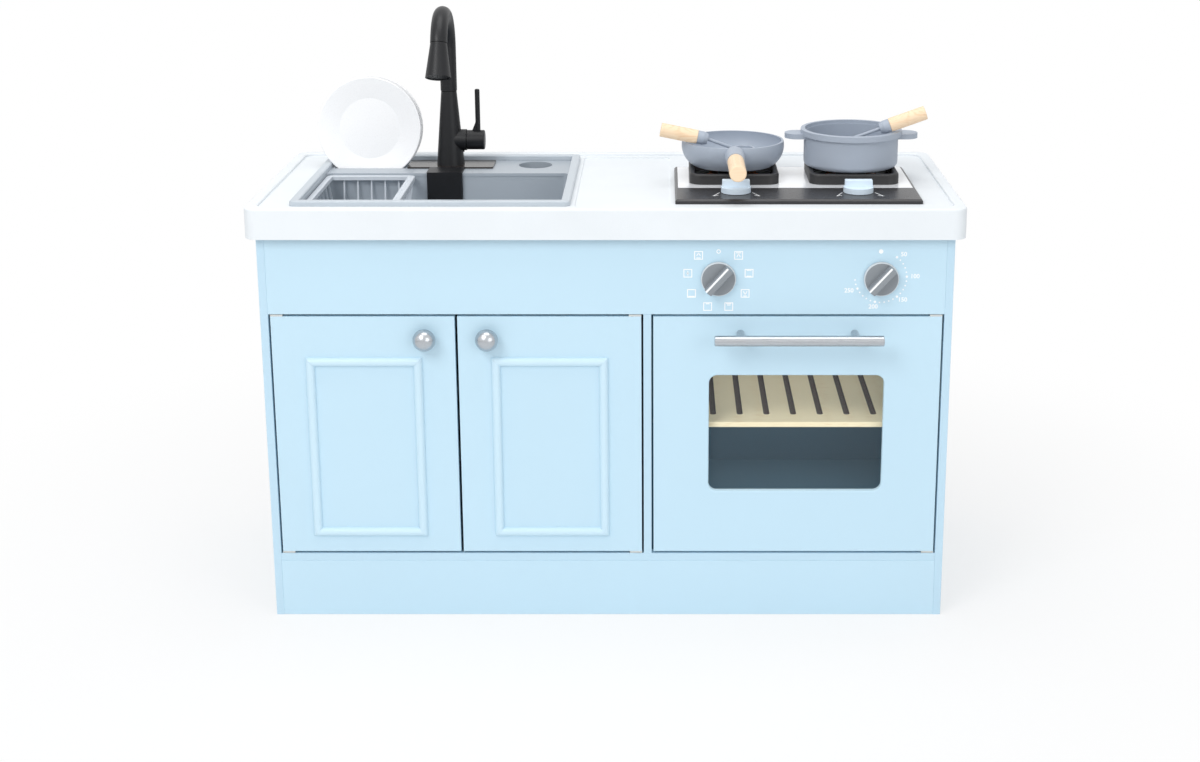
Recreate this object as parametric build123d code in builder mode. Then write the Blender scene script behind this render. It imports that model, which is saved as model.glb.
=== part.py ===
# Play kitchen: board cabinet, moulded worktop, drop-in sink with tap, hob and loose cookware.
# Millimetres. X runs to the right, Y runs to the back, Z runs up from the floor.
# The origin is on the floor, under the middle of the whole kitchen.
import os
from math import cos, radians, sin, sqrt

from build123d import *

os.makedirs("parts", exist_ok=True)

# Overall sizes
worktop_width = 800
worktop_depth = 330
worktop_skirt = 35
cabinet_height = 453.5
overhang_side = 12
overhang_front = 10
overhang_back = 10

# Boards
board = 9
back_board = 6
plinth_height = 68
fascia_height = 88.2
divider_x = 46
front_edge_round = 0.6

# Running gaps and fits
door_side_gap = 2.2
door_middle_gap = 3
door_end_gap = 2.6
press_fit = 0.02
running_fit = 0.08
loose_fit = 0.3

# Door hardware
pivot_inset = 5
pivot_pin_radius = 1.5
pivot_pin_reach = 6
pivot_pin_depth = 12
pivot_plate = (14, 8, 2.2)
bush_radius = 3
bush_length = 8
strike_plate = (14, 1.2, 10)
catch_block = (24, 12, 13)
catch_gap = 0.4
catch_inset = 36
knob_radius = 12.8
knob_reach = 22
knob_foot_radius = 7
knob_foot_length = 3
knob_neck_radius = 5
knob_rim = 1.5
knob_dome_depth = 10.6
knob_drop = 24.7
knob_inset = 33.5
moulding_width = 10
moulding_inset = 37.5
moulding_rise = 19.7
moulding_drop = 48
mitre_slit = 0.1

# Oven door
window_width = 198
window_height = 139
window_rise = 74.9
window_corner = 9.5
window_edge_round = 1.6
pane_thickness = 3
pane_lap = 8
bar_radius = 6
bar_length = 188
bar_standoff = 29
bar_drop = 19.7
post_spacing = 128
post_radius = 4.5
bar_chamfer = 0.8

# Oven cavity
liner_sheet = 1.5
shelf_board = 6
shelf_rise = 156.3
shelf_gap = 1
slot_width = 7
slot_pitch = 31
slot_count = 9
slot_margin = 26
slot_floor_sheet = 1
shelf_pin_radius = 2.5
shelf_pin_seat = 6
shelf_pin_reach = 7
shelf_pin_inset = 28

# Dials on the fascia
dial_radius = 19.5
dial_base = 5
dial_reach = 16
dial_grip_width = 9.5
dial_rise = 41.7
mode_dial_inset = 79.4
temperature_dial_inset = 72.2
dial_rest_turn = 42
dial_chamfer = 1.2
dial_grip_round = 1
dial_gap = 0.4
dial_stem_radius = 4
dial_stem_tail = 6

# Worktop shell
worktop_corner = 16
worktop_edge_round = 2.5
worktop_wall = 3
rim_width = 13
rim_height = 3
deck_corner = 12
rim_inner_round = 1.5
seat_rib = 3
tray_depth = 1.5
tray_margin = 5
tray_corner = 6
corner_block = 25
block_post_radius = 6

# Screws
screw_radius = 1.75
screw_head_radius = 3.5
screw_length = 30
screw_inset = 30
screw_end = 21

# Sink
sink_width = 313
sink_inset_back = 31
sink_inset_left = 47
sink_inset_front = 26
sink_rim_height = 6
sink_rim_width = 10
sink_corner = 6
sink_wall = 2.5
sink_lap = 7
sink_gap = 0.5
sink_rim_round = 2
ledge_depth = 78
basin_drop = 60.5
basin_corner = 9
ledge_drop = 0.5
ledge_sheet = 3.5
ledge_lip = 0.8
cup_inset_right = 54
cup_inset_back = 38
cup_radius = 20.5
cup_depth = 45
strainer_inset_left = 203
strainer_inset_front = 96.5
strainer_radius = 16
strainer_thickness = 2.5
strainer_recess = 1.5
strainer_holes = 8
strainer_hole_radius = 1.5

# Plates in their slot
plate_radius = 63
plate_well_radius = 37
plate_depth = 8
plate_sheet = 2.5
plate_inset_left = 57
plate_rise = 47
plate_inset_back = 42.5
plate_pitch = 13
plate_shift = 1
plate_slot_gap = 1
plate_lean = 6
plate_slot_inset = (58.5, 10.5)
plate_rib = 2
plate_rib_drop = 7
plate_rim_round = 1

# Drainer basket
basket_width = 107
basket_drop = 2
basket_rail = 7
basket_comb_rail = 9
basket_rail_height = 5
basket_taper = 9
basket_bar = 1.8
basket_bar_inset = 1
basket_back_bars = 5
basket_back_margin = 20.5
basket_side_bars = 8
basket_side_margin = 11.25
basket_gap = 0.6
basket_rail_round = 1
comb_teeth = 15
comb_margin = 13
comb_notch_radius = 3.4
comb_notch_rise = 1.4

# Tap
tap_inset_left = 154.5
tap_inset_back = 39
tap_plate_reach_x = (51.5, 54)
tap_plate_reach_y = (22, 23)
tap_plate_thickness = 2
tap_plate_corner = 3
tap_base_radius = 17
tap_neck_radius = 9.4
tap_joint_rise = 93
tap_bore_radius = 5
tap_socket_depth = 14
spout_radius = 10
spout_rise = 201
spout_arc_radius = 45
spout_tilt = 22
spout_spigot_radius = 6.5
spout_bore = 4.5
spray_length = 41
spray_top_radius = 9.8
spray_spigot_length = 8
spray_face_radius = 15
spray_collar_gap = 0.6
spray_face_depth = 3
spray_face_recess = 1
spray_lip = 1.8
spray_ring_radius = 8
spray_hole_radius = 0.9
spray_holes = 8
lever_axis_rise = 32
lever_radius = 12
lever_socket_radius = 13
lever_socket_reach = 20.5
lever_cap_length = 21.5
lever_end_round = 1.5
lever_gap = 0.6
lever_shaft_radius = 4
lever_shaft_length = 10
lever_rod_reach = 34.5
lever_rod_radius = 3
lever_rod_rise = 95
lever_foot_reach = 7
lever_foot_width = 4
lever_foot_rise = 61
lever_rod_seat = 6
set_screw_radius = 2.2
set_screw_reach = 15
set_screw_start = 10
set_screw_inset = 15
pump_reach = (23.5, 19)
pump_step = (6, 27)
pump_wall = 2
pump_corner = 2
pump_slots = 3
pump_slot = (24, 2)
pump_slot_pitch = 5
motor_radius = 11
motor_length = 28
motor_nose_radius = 4
motor_nose_length = 5
tube_radius = 3
tube_bore = 2
tube_bend = 7
tube_cross_drop = 13

# Hob
hob_inset_right = 45.3
hob_width = 277.3
hob_inset_front = 37
hob_depth = 185
hob_thickness = 5.5
hob_corner = 2
hob_bevel = 2
hob_lap = 8
inlay_step = 62
inlay_border = 3.5
inlay_thickness = 1.2
inlay_proud = 0.2
burner_inset = (69.2, 208.6)
burner_step = 129.5
grate_size = 104
grate_corner = 14
grate_height = 12
grate_wall = 6.5
finger_length = 26
finger_width = 5
finger_depth = 5
finger_count = 4
grate_round = 2
cap_radius = 18
cap_height = 6
cap_round = 1.5
flame_ring_inner = 20
flame_ring_radius = 30
flame_ring_height = 3
flame_count = 16
flame_reach = 5
hob_knob_step = 39
hob_knob_radius = 17
hob_knob_base = 6
hob_knob_height = 14.5
hob_knob_grip = 7
hob_knob_top_half = 15.5
hob_knob_round = 1.2
hob_knob_gap = 0.4
hob_stem_radius = 4
hob_stem_length = 12
module_drop = 30
module_wall = 2
module_gap = 2

# Pot and pan
cookware_wall = 2.5
pot_shift = 6
pot_rim_radius = 59.5
pot_body_radius = 55.5
pot_height = 44
pot_band = 7
lug_reach = 19
lug_width = 30
lug_thickness = 6
lug_drop = 5
pot_foot_round = 6
pot_lid_step = (1.5, 4)
cookware_round = 0.8
pan_shift = 12
pan_rim_radius = 60
pan_base_radius = 48
pan_side_bulge = (57.4, 10)
pan_height = 29
pan_handle_rise = 20
pan_handle_reach = 157.5
pan_ferrule_reach = 92
pan_ferrule_radius = 12
pan_ferrule_tip = 10.4
handle_radius = 9.6
handle_spigot_radius = 5
handle_spigot_length = 10
handle_end_round = 2

# Utensils
utensil_radius = 8.2
utensil_handle = 44
utensil_ferrule = 12
utensil_ferrule_cone = 5
utensil_ferrule_tip = 6.2
utensil_stem_radius = 2
utensil_spigot_radius = 3.5
utensil_spigot_length = 8
spoon_offset = (-85.6, -15, 45.9)
spoon_fall = 11.5
spoon_stem = 30
spoon_bowl_radius = 14
ladle_offset = (83.5, -20, 67)
ladle_fall = 20
ladle_stem = 44
ladle_bowl_radius = 15
stem_fall = 20
bowl_wall = 2

# Planes and edges worked out from the sizes above
handle_reach = bar_standoff + bar_radius
front_y = -(worktop_depth + handle_reach - overhang_front) / 2
door_face = front_y + handle_reach
worktop_front = door_face - overhang_front
worktop_back = worktop_front + worktop_depth
cabinet_back = worktop_back - overhang_back
worktop_half = worktop_width / 2
side_outer = worktop_half - overhang_side
side_inner = side_outer - board
back_face = cabinet_back - back_board
door_back = door_face + board
floor_board_top = plinth_height + board
fascia_bottom = cabinet_height - fascia_height
divider_left = divider_x - board / 2
divider_right = divider_x + board / 2
rim_top = cabinet_height + worktop_skirt
deck_top = rim_top - rim_height
pivot_y = door_face + board / 2
door_bottom = floor_board_top + door_end_gap
door_top = fascia_bottom - door_end_gap
knob_height = door_top - knob_drop
moulding_bottom = door_bottom + moulding_rise
moulding_top = door_top - moulding_drop
window_bottom = door_bottom + window_rise
bar_height = door_top - bar_drop
shelf_top = floor_board_top + shelf_rise
dial_centre_z = fascia_bottom + dial_rise
mode_dial_x = divider_x + mode_dial_inset
temperature_dial_x = side_inner - temperature_dial_inset

cupboard_middle = (divider_left - side_inner) / 2
door_left_x = (-side_inner + door_side_gap, cupboard_middle - door_middle_gap / 2)
door_right_x = (cupboard_middle + door_middle_gap / 2, divider_left - door_side_gap)
oven_door_x = (divider_right + door_side_gap, side_inner - door_side_gap)
oven_x = (oven_door_x[0] + oven_door_x[1]) / 2
pivot_left_x = door_left_x[0] + pivot_inset
pivot_right_x = door_right_x[1] - pivot_inset
pivot_oven_x = oven_door_x[1] - pivot_inset
pivots_x = (pivot_left_x, pivot_right_x, pivot_oven_x)

ledge_z = deck_top - ledge_drop
basin_bottom = deck_top - basin_drop
sink_left = sink_inset_left - worktop_half
sink_right = sink_left + sink_width
sink_front = worktop_front + sink_inset_front
sink_back = worktop_back - sink_inset_back
basin_front = sink_front + sink_rim_width
ledge_back = sink_back - sink_rim_width
basin_back = ledge_back - ledge_depth
cup_x = sink_right - cup_inset_right
cup_y = sink_back - cup_inset_back
strainer_x = sink_left + strainer_inset_left
strainer_y = sink_front + strainer_inset_front
plate_x = sink_left + plate_inset_left
plate_centre_z = ledge_z + plate_rise
plate_front_y = sink_back - plate_inset_back
plate_slot_y = (sink_back - plate_slot_inset[0], sink_back - plate_slot_inset[1])
plate_rib_top = ledge_z - plate_rib_drop
basket_top = ledge_z - basket_drop

tap_x = sink_left + tap_inset_left
tap_y = sink_back - tap_inset_back
tap_plate_x = (tap_x - tap_plate_reach_x[0], tap_x + tap_plate_reach_x[1])
tap_plate_y = (tap_y - tap_plate_reach_y[0], tap_y + tap_plate_reach_y[1])
tap_joint_z = ledge_z + tap_joint_rise
spout_top = ledge_z + spout_rise
lever_axis_z = ledge_z + lever_axis_rise
lever_socket_x = tap_x + lever_socket_reach
lever_rod_x = tap_x + lever_rod_reach
lever_rod_top = ledge_z + lever_rod_rise
lever_foot_top = ledge_z + lever_foot_rise
pump_x = (tap_x - pump_reach[0], tap_x + pump_reach[1])
pump_y = (basin_back - pump_step[0], basin_back + pump_step[1])
tube_cross_z = ledge_z - tube_cross_drop

hob_left = worktop_half - hob_inset_right - hob_width
hob_front = worktop_front + hob_inset_front
hob_top = deck_top + hob_thickness
inlay_front = hob_front + inlay_step
inlay_top = hob_top + inlay_proud
burner_x = (hob_left + burner_inset[0], hob_left + burner_inset[1])
burner_y = hob_front + burner_step
hob_knob_y = hob_front + hob_knob_step
cookware_z = inlay_top + grate_height + loose_fit
pot_y = burner_y + pot_shift
pan_y = burner_y + pan_shift
pan_handle_z = cookware_z + pan_handle_rise
pan_handle_end = pan_y - pan_handle_reach
pan_ferrule_end = pan_y - pan_ferrule_reach
spoon_end = Vector(burner_x[0], burner_y, cookware_z) + Vector(*spoon_offset)
ladle_end = Vector(burner_x[1], burner_y, cookware_z) + Vector(*ladle_offset)

liner_front = door_back + 2 * liner_sheet
liner_x = (divider_right + liner_sheet, side_inner - liner_sheet)
liner_back = back_face - liner_sheet
liner_top = fascia_bottom - liner_sheet


def slab(x_span, y_span, z_span, mode=Mode.ADD):
    """Add, or cut, a box between two X, two Y and two Z values in the part being made."""
    with Locations((x_span[0], y_span[0], z_span[0])):
        Box(
            x_span[1] - x_span[0],
            y_span[1] - y_span[0],
            z_span[1] - z_span[0],
            align=(Align.MIN, Align.MIN, Align.MIN),
            mode=mode,
        )


def round_bar(start, direction, radius, length, mode=Mode.ADD):
    """Add, or cut, a cylinder that starts at a point and runs along a direction."""
    place = Plane(origin=start, z_dir=direction).location
    with Locations(place):
        Cylinder(radius, length, align=(Align.CENTER, Align.CENTER, Align.MIN), mode=mode)


def finish(piece, label):
    """Label a finished piece and write its file."""
    piece.label = label
    export_step(piece, f"parts/{label}.step")


# Fastener places: the screws that pull the side panels onto the boards between them
screw_places = (
    (door_back + screw_inset, plinth_height + board / 2),
    (back_face - screw_inset, plinth_height + board / 2),
    (pivot_y, plinth_height / 2),
    (pivot_y, fascia_bottom + screw_end),
    (pivot_y, cabinet_height - screw_end),
)


def screw_holes(side, mode=Mode.SUBTRACT, radius=screw_radius + press_fit):
    """Cut the screws' shanks from the board being made, at one side of the cabinet."""
    for y, z in screw_places:
        round_bar((side * side_outer, y, z), (-side, 0, 0), radius, screw_length + press_fit, mode)


def shelf_pin_places():
    """Give the start, direction and reach of each shelf pin."""
    height = shelf_top - shelf_board - shelf_pin_radius
    for y in (liner_front + shelf_pin_inset, liner_back - shelf_pin_inset):
        yield (divider_right - shelf_pin_seat, y, height), (1, 0, 0)
        yield (side_inner + shelf_pin_seat, y, height), (-1, 0, 0)


# Cabinet boards
for side, side_name in ((-1, "left"), (1, "right")):
    with BuildPart() as side_panel:
        edges_x = sorted((side * side_inner, side * side_outer))
        slab(edges_x, (door_face, cabinet_back), (0, cabinet_height))
        fillet(side_panel.edges().filter_by(Axis.Z).group_by(Axis.Y)[0], front_edge_round)
        for y, z in screw_places:
            head = Plane(origin=(side * side_outer, y, z), z_dir=(side, 0, 0))
            with Locations(head.location):
                CounterSinkHole(screw_radius + press_fit, screw_head_radius + press_fit, board)
        if side > 0:
            for start, direction in shelf_pin_places():
                if direction[0] < 0:
                    round_bar(
                        start, direction, shelf_pin_radius + press_fit, shelf_pin_seat, Mode.SUBTRACT
                    )
    finish(side_panel.part, f"side_panel_{side_name}")

with BuildPart() as bottom_panel:
    slab((-side_inner, side_inner), (door_face, back_face), (plinth_height, floor_board_top))
    fillet(bottom_panel.edges().filter_by(Axis.X).group_by(Axis.Y)[0], front_edge_round)
    screw_holes(-1)
    screw_holes(1)
    for pivot_x in pivots_x:
        round_bar(
            (pivot_x, pivot_y, floor_board_top),
            (0, 0, -1),
            bush_radius + press_fit,
            bush_length,
            Mode.SUBTRACT,
        )
finish(bottom_panel.part, "bottom_panel")

with BuildPart() as plinth_board:
    slab((-side_inner, side_inner), (door_face, door_back), (0, plinth_height))
    fillet(plinth_board.edges().filter_by(Axis.X).group_by(Axis.Y)[0], front_edge_round)
    screw_holes(-1)
    screw_holes(1)
finish(plinth_board.part, "plinth_board")

with BuildPart() as fascia_board:
    slab((-side_inner, side_inner), (door_face, door_back), (fascia_bottom, cabinet_height))
    fillet(fascia_board.edges().filter_by(Axis.X).group_by(Axis.Y)[0], front_edge_round)
    screw_holes(-1)
    screw_holes(1)
    for pivot_x in pivots_x:
        round_bar(
            (pivot_x, pivot_y, fascia_bottom),
            (0, 0, 1),
            bush_radius + press_fit,
            bush_length,
            Mode.SUBTRACT,
        )
    for dial_x in (mode_dial_x, temperature_dial_x):
        round_bar(
            (dial_x, door_face, dial_centre_z),
            (0, 1, 0),
            dial_stem_radius + running_fit,
            board,
            Mode.SUBTRACT,
        )
finish(fascia_board.part, "fascia_board")

with BuildPart() as centre_divider:
    slab((divider_left, divider_right), (door_back, back_face), (floor_board_top, cabinet_height))
    slab((divider_left, divider_right), (door_face, door_back), (floor_board_top, fascia_bottom))
    fillet(centre_divider.edges().filter_by(Axis.Z).group_by(Axis.Y)[0], front_edge_round)
    for start, direction in shelf_pin_places():
        if direction[0] > 0:
            round_bar(start, direction, shelf_pin_radius + press_fit, shelf_pin_seat, Mode.SUBTRACT)
finish(centre_divider.part, "centre_divider")

with BuildPart() as back_panel:
    slab((-side_inner, side_inner), (back_face, cabinet_back), (0, cabinet_height))
finish(back_panel.part, "back_panel")

with BuildPart() as oven_top_panel:
    slab((divider_right, side_inner), (door_back, back_face), (fascia_bottom, fascia_bottom + board))
finish(oven_top_panel.part, "oven_top_panel")

# Oven cavity: a folded liner, a slotted shelf board and the pins under it
with BuildPart() as oven_liner:
    slab((divider_right, side_inner), (liner_front, back_face), (floor_board_top, fascia_bottom))
    slab(
        liner_x,
        (liner_front, liner_back),
        (floor_board_top + liner_sheet, liner_top),
        Mode.SUBTRACT,
    )
    for start, direction in shelf_pin_places():
        round_bar(start, direction, shelf_pin_radius + loose_fit, 2 * shelf_pin_seat, Mode.SUBTRACT)
finish(oven_liner.part, "oven_liner")

shelf_x = (liner_x[0] + shelf_gap, liner_x[1] - shelf_gap)
shelf_y = (liner_front + shelf_gap, liner_back - shelf_gap)
with BuildPart() as oven_shelf:
    slab(shelf_x, shelf_y, (shelf_top - shelf_board, shelf_top))
    slot_length = shelf_y[1] - shelf_y[0] - 2 * slot_margin
    with BuildSketch(Plane.XY.offset(shelf_top)):
        with Locations((oven_x, (shelf_y[0] + shelf_y[1]) / 2)):
            with GridLocations(slot_pitch, 1, slot_count, 1):
                RectangleRounded(slot_width, slot_length, slot_width / 2 - press_fit)
    extrude(amount=slot_floor_sheet - shelf_board, mode=Mode.SUBTRACT)
finish(oven_shelf.part, "oven_shelf")

with BuildPart() as shelf_pins:
    for start, direction in shelf_pin_places():
        reach = shelf_pin_seat + liner_sheet + shelf_pin_reach
        round_bar(start, direction, shelf_pin_radius, reach)
finish(shelf_pins.part, "shelf_pins")

# Magnet catches behind the tops of the doors, with their tabs on the fascia
catch_left_x = door_left_x[1] - catch_inset
catch_right_x = door_right_x[0] + catch_inset
catch_oven_x = oven_door_x[0] + catch_inset
catch_front = door_back + catch_gap
catch_back = catch_front + catch_block[1]
with BuildPart() as magnet_catches:
    for catch_x in (catch_left_x, catch_right_x):
        span = (catch_x - catch_block[0] / 2, catch_x + catch_block[0] / 2)
        slab(span, (catch_front, catch_back), (fascia_bottom - catch_block[2], fascia_bottom))
        slab(span, (door_back, catch_back), (fascia_bottom, fascia_bottom + catch_block[2]))
    span = (catch_oven_x - catch_block[0] / 2, catch_oven_x + catch_block[0] / 2)
    slab(span, (catch_front, catch_back), (liner_top - catch_block[2], liner_top))
    slab(span, (catch_front, liner_front), (liner_top, fascia_bottom))
finish(magnet_catches.part, "magnet_catches")

with BuildPart() as pivot_bushes:
    for pivot_x in pivots_x:
        for height, way in ((floor_board_top, -1), (fascia_bottom, 1)):
            start = (pivot_x, pivot_y, height)
            round_bar(start, (0, 0, way), bush_radius, bush_length)
            round_bar(
                start, (0, 0, way), pivot_pin_radius + running_fit, bush_length, Mode.SUBTRACT
            )
finish(pivot_bushes.part, "pivot_bushes")

with BuildPart() as panel_screws:
    head_depth = screw_head_radius - screw_radius
    for side in (-1, 1):
        for y, z in screw_places:
            round_bar((side * side_outer, y, z), (-side, 0, 0), screw_radius, screw_length)
            head = Plane(
                origin=(side * (side_outer - head_depth), y, z), z_dir=(side, 0, 0)
            )
            with Locations(head.location):
                Cone(
                    screw_radius,
                    screw_head_radius,
                    head_depth,
                    align=(Align.CENTER, Align.CENTER, Align.MIN),
                )
finish(panel_screws.part, "panel_screws")


# Doors: a panel, a half-round moulding, a knob or bar, pivots and a strike plate
def pivot_holes(pivot_x):
    """Cut the pivot pins' holes in a door's top and bottom edges."""
    depth = pivot_pin_depth + loose_fit
    for height, way in ((door_bottom, 1), (door_top, -1)):
        round_bar(
            (pivot_x, pivot_y, height),
            (0, 0, way),
            pivot_pin_radius + press_fit,
            depth,
            Mode.SUBTRACT,
        )


def strike_spans(catch_x):
    """Give the X, Y and Z spans of a strike plate let into a door's back."""
    top = door_top - catch_block[2] / 2 + strike_plate[2] / 2
    return (
        (catch_x - strike_plate[0] / 2, catch_x + strike_plate[0] / 2),
        (door_back - strike_plate[1], door_back),
        (top - strike_plate[2], top),
    )


def door_hardware(label, pivot_x, inward, catch_x):
    """Make a door's two pivots, each a plate with a pin through it, and its strike plate."""
    with BuildPart() as hardware:
        outer_end = pivot_x - inward * pivot_inset
        ends = sorted((outer_end, outer_end + inward * pivot_plate[0]))
        depth = (pivot_y - pivot_plate[1] / 2, pivot_y + pivot_plate[1] / 2)
        reach = door_end_gap + pivot_pin_reach
        for height, way in ((door_bottom, -1), (door_top, 1)):
            slab(ends, depth, sorted((height, height + way * pivot_plate[2])))
            tail = (pivot_x, pivot_y, height - way * pivot_pin_depth)
            round_bar(tail, (0, 0, way), pivot_pin_radius, pivot_pin_depth + reach)
        slab(*strike_spans(catch_x))
    finish(hardware.part, label)


def half_round(label, x_span, z_span):
    """Make a mitred frame of four half-round strips on a door's face."""
    radius = moulding_width / 2
    centre_x = (x_span[0] + x_span[1]) / 2
    centre_z = (z_span[0] + z_span[1]) / 2
    half_x = (x_span[1] - x_span[0]) / 2 - radius
    half_z = (z_span[1] - z_span[0]) / 2 - radius
    face = Plane(origin=(centre_x, door_face, centre_z), x_dir=(1, 0, 0), z_dir=(0, -1, 0))
    with BuildPart() as frame:
        with BuildLine(face):
            Polyline(
                (0, -half_z),
                (half_x, -half_z),
                (half_x, half_z),
                (-half_x, half_z),
                (-half_x, -half_z),
                close=True,
            )
        section = Plane(
            origin=(centre_x, door_face, centre_z - half_z), x_dir=(0, -1, 0), z_dir=(1, 0, 0)
        )
        with BuildSketch(section):
            Circle(radius)
            with Locations((-radius, 0)):
                Rectangle(2 * radius, 2 * radius, mode=Mode.SUBTRACT)
        sweep(transition=Transition.RIGHT)
        for side_x in (-1, 1):
            for side_z in (-1, 1):
                corner = (centre_x + side_x * half_x, door_face, centre_z + side_z * half_z)
                mitre = Plane(origin=corner, x_dir=(side_x, 0, side_z), z_dir=(0, -1, 0))
                with Locations(mitre.location):
                    Box(4 * radius, mitre_slit, 4 * radius, mode=Mode.SUBTRACT)
    finish(frame.part, label)


def door_knob(label, x):
    """Make a turned knob with a foot, a neck and a domed head."""
    rim_start = knob_reach - knob_dome_depth
    dome_radius = (knob_dome_depth**2 + knob_radius**2) / (2 * knob_dome_depth)
    with BuildPart() as knob:
        with BuildSketch(Plane(origin=(x, door_face, knob_height), x_dir=(0, -1, 0), z_dir=(1, 0, 0))):
            with BuildLine():
                outline = Polyline(
                    (0, 0),
                    (0, knob_foot_radius),
                    (knob_foot_length, knob_neck_radius),
                    (rim_start - knob_rim, knob_neck_radius),
                    (rim_start - knob_rim, knob_radius),
                    (rim_start, knob_radius),
                )
                RadiusArc(outline @ 1, (knob_reach, 0), dome_radius)
                Line((knob_reach, 0), (0, 0))
            make_face()
        revolve(axis=Axis((x, door_face, knob_height), (0, 1, 0)))
    finish(knob.part, label)


for side_name, span, pivot_x, inward, catch_x, knob_x in (
    ("left", door_left_x, pivot_left_x, 1, catch_left_x, door_left_x[1] - knob_inset),
    ("right", door_right_x, pivot_right_x, -1, catch_right_x, door_right_x[0] + knob_inset),
):
    with BuildPart() as door_panel:
        slab(span, (door_face, door_back), (door_bottom, door_top))
        fillet(door_panel.edges().group_by(Axis.Y)[0], front_edge_round)
        pivot_holes(pivot_x)
        slab(*strike_spans(catch_x), Mode.SUBTRACT)
    finish(door_panel.part, f"door_{side_name}_panel")
    half_round(
        f"door_{side_name}_moulding",
        (span[0] + moulding_inset, span[1] - moulding_inset),
        (moulding_bottom, moulding_top),
    )
    door_knob(f"door_{side_name}_knob", knob_x)
    door_hardware(f"door_{side_name}_hardware", pivot_x, inward, catch_x)

window_x = (oven_x - window_width / 2, oven_x + window_width / 2)
window_z = (window_bottom, window_bottom + window_height)
window_middle = (oven_x, door_face, window_bottom + window_height / 2)
with BuildPart() as oven_door_panel:
    slab(oven_door_x, (door_face, door_back), (door_bottom, door_top))
    fillet(oven_door_panel.edges().group_by(Axis.Y)[0], front_edge_round)
    with BuildSketch(Plane(origin=window_middle, x_dir=(1, 0, 0), z_dir=(0, -1, 0))):
        RectangleRounded(window_width, window_height, window_corner)
    extrude(amount=-board, mode=Mode.SUBTRACT)
    fillet(
        oven_door_panel.edges().group_by(Axis.Y)[0].filter_by_position(Axis.X, *window_x),
        window_edge_round,
    )
    slab(
        (window_x[0] - pane_lap, window_x[1] + pane_lap),
        (door_back - pane_thickness, door_back),
        (window_z[0] - pane_lap, window_z[1] + pane_lap),
        Mode.SUBTRACT,
    )
    pivot_holes(pivot_oven_x)
    slab(*strike_spans(catch_oven_x), Mode.SUBTRACT)
finish(oven_door_panel.part, "oven_door_panel")

pane_lap_x = pane_lap - loose_fit
with BuildPart() as oven_door_pane:
    slab(
        (window_x[0] - pane_lap_x, window_x[1] + pane_lap_x),
        (door_back - pane_thickness, door_back),
        (window_z[0] - pane_lap_x, window_z[1] + pane_lap_x),
    )
finish(oven_door_pane.part, "oven_door_pane")
door_hardware("oven_door_hardware", pivot_oven_x, -1, catch_oven_x)

# T-bar handle: a bar carried on two posts that are pressed into it
bar_y = door_face - bar_standoff
with BuildPart() as oven_door_handle:
    round_bar((oven_x - bar_length / 2, bar_y, bar_height), (1, 0, 0), bar_radius, bar_length)
    chamfer(oven_door_handle.edges().filter_by(GeomType.CIRCLE), bar_chamfer)
    for side in (-1, 1):
        post = (oven_x + side * post_spacing / 2, bar_y, bar_height)
        round_bar(post, (0, 1, 0), post_radius + press_fit, bar_radius, Mode.SUBTRACT)
        round_bar(post, (0, 1, 0), post_radius, bar_standoff)
finish(oven_door_handle.part, "oven_door_handle")


# Fascia dials: a round base, a bar grip across it, and a stem through the fascia
def fascia_dial(label, x):
    """Make a dial that turns in a hole in the fascia, with its grip turned to the rest mark."""
    front = door_face - dial_gap
    face = Plane(origin=(x, front, dial_centre_z), x_dir=(1, 0, 0), z_dir=(0, -1, 0))
    with BuildPart() as dial:
        with BuildSketch(face):
            Circle(dial_radius)
        extrude(amount=dial_base)
        chamfer(dial.edges().group_by(Axis.Y)[0], dial_chamfer)
        with BuildSketch(face.offset(dial_base)):
            Rectangle(
                dial_grip_width, 2 * (dial_radius - dial_chamfer), rotation=-dial_rest_turn
            )
            Circle(dial_radius - dial_chamfer, mode=Mode.INTERSECT)
        extrude(amount=dial_reach - dial_base)
        fillet(dial.edges().group_by(Axis.Y)[0], dial_grip_round)
        round_bar(
            (x, front, dial_centre_z), (0, 1, 0), dial_stem_radius, dial_gap + board + dial_stem_tail
        )
    finish(dial.part, label)


fascia_dial("mode_dial", mode_dial_x)
fascia_dial("temperature_dial", temperature_dial_x)

# Worktop: a moulded shell with a raised rim, a shallow tray and cut-outs for the sink and the hob
cabinet_middle_y = (door_face + cabinet_back) / 2
cabinet_depth = cabinet_back - door_face
shell_depth = deck_top - worktop_wall - cabinet_height
sink_x = (sink_left, sink_right)
sink_y = (sink_front, sink_back)
hob_x = (hob_left, hob_left + hob_width)
hob_y = (hob_front, hob_front + hob_depth)
block_places = [
    (side * (side_inner - corner_block / 2), y)
    for side in (-1, 1)
    for y in (door_back + corner_block / 2, back_face - corner_block / 2)
]


def inset(span, distance):
    """Give a pair of values moved inwards by a distance at both ends."""
    return (span[0] + distance, span[1] - distance)


def rounded_slab(x_span, y_span, z_span, corner, mode=Mode.ADD):
    """Add, or cut, a box whose upright edges are rounded."""
    with BuildSketch(Plane.XY.offset(z_span[0])) as outline:
        with Locations(((x_span[0] + x_span[1]) / 2, (y_span[0] + y_span[1]) / 2)):
            RectangleRounded(x_span[1] - x_span[0], y_span[1] - y_span[0], corner)
    extrude(outline.sketch, amount=z_span[1] - z_span[0], mode=mode)


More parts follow.
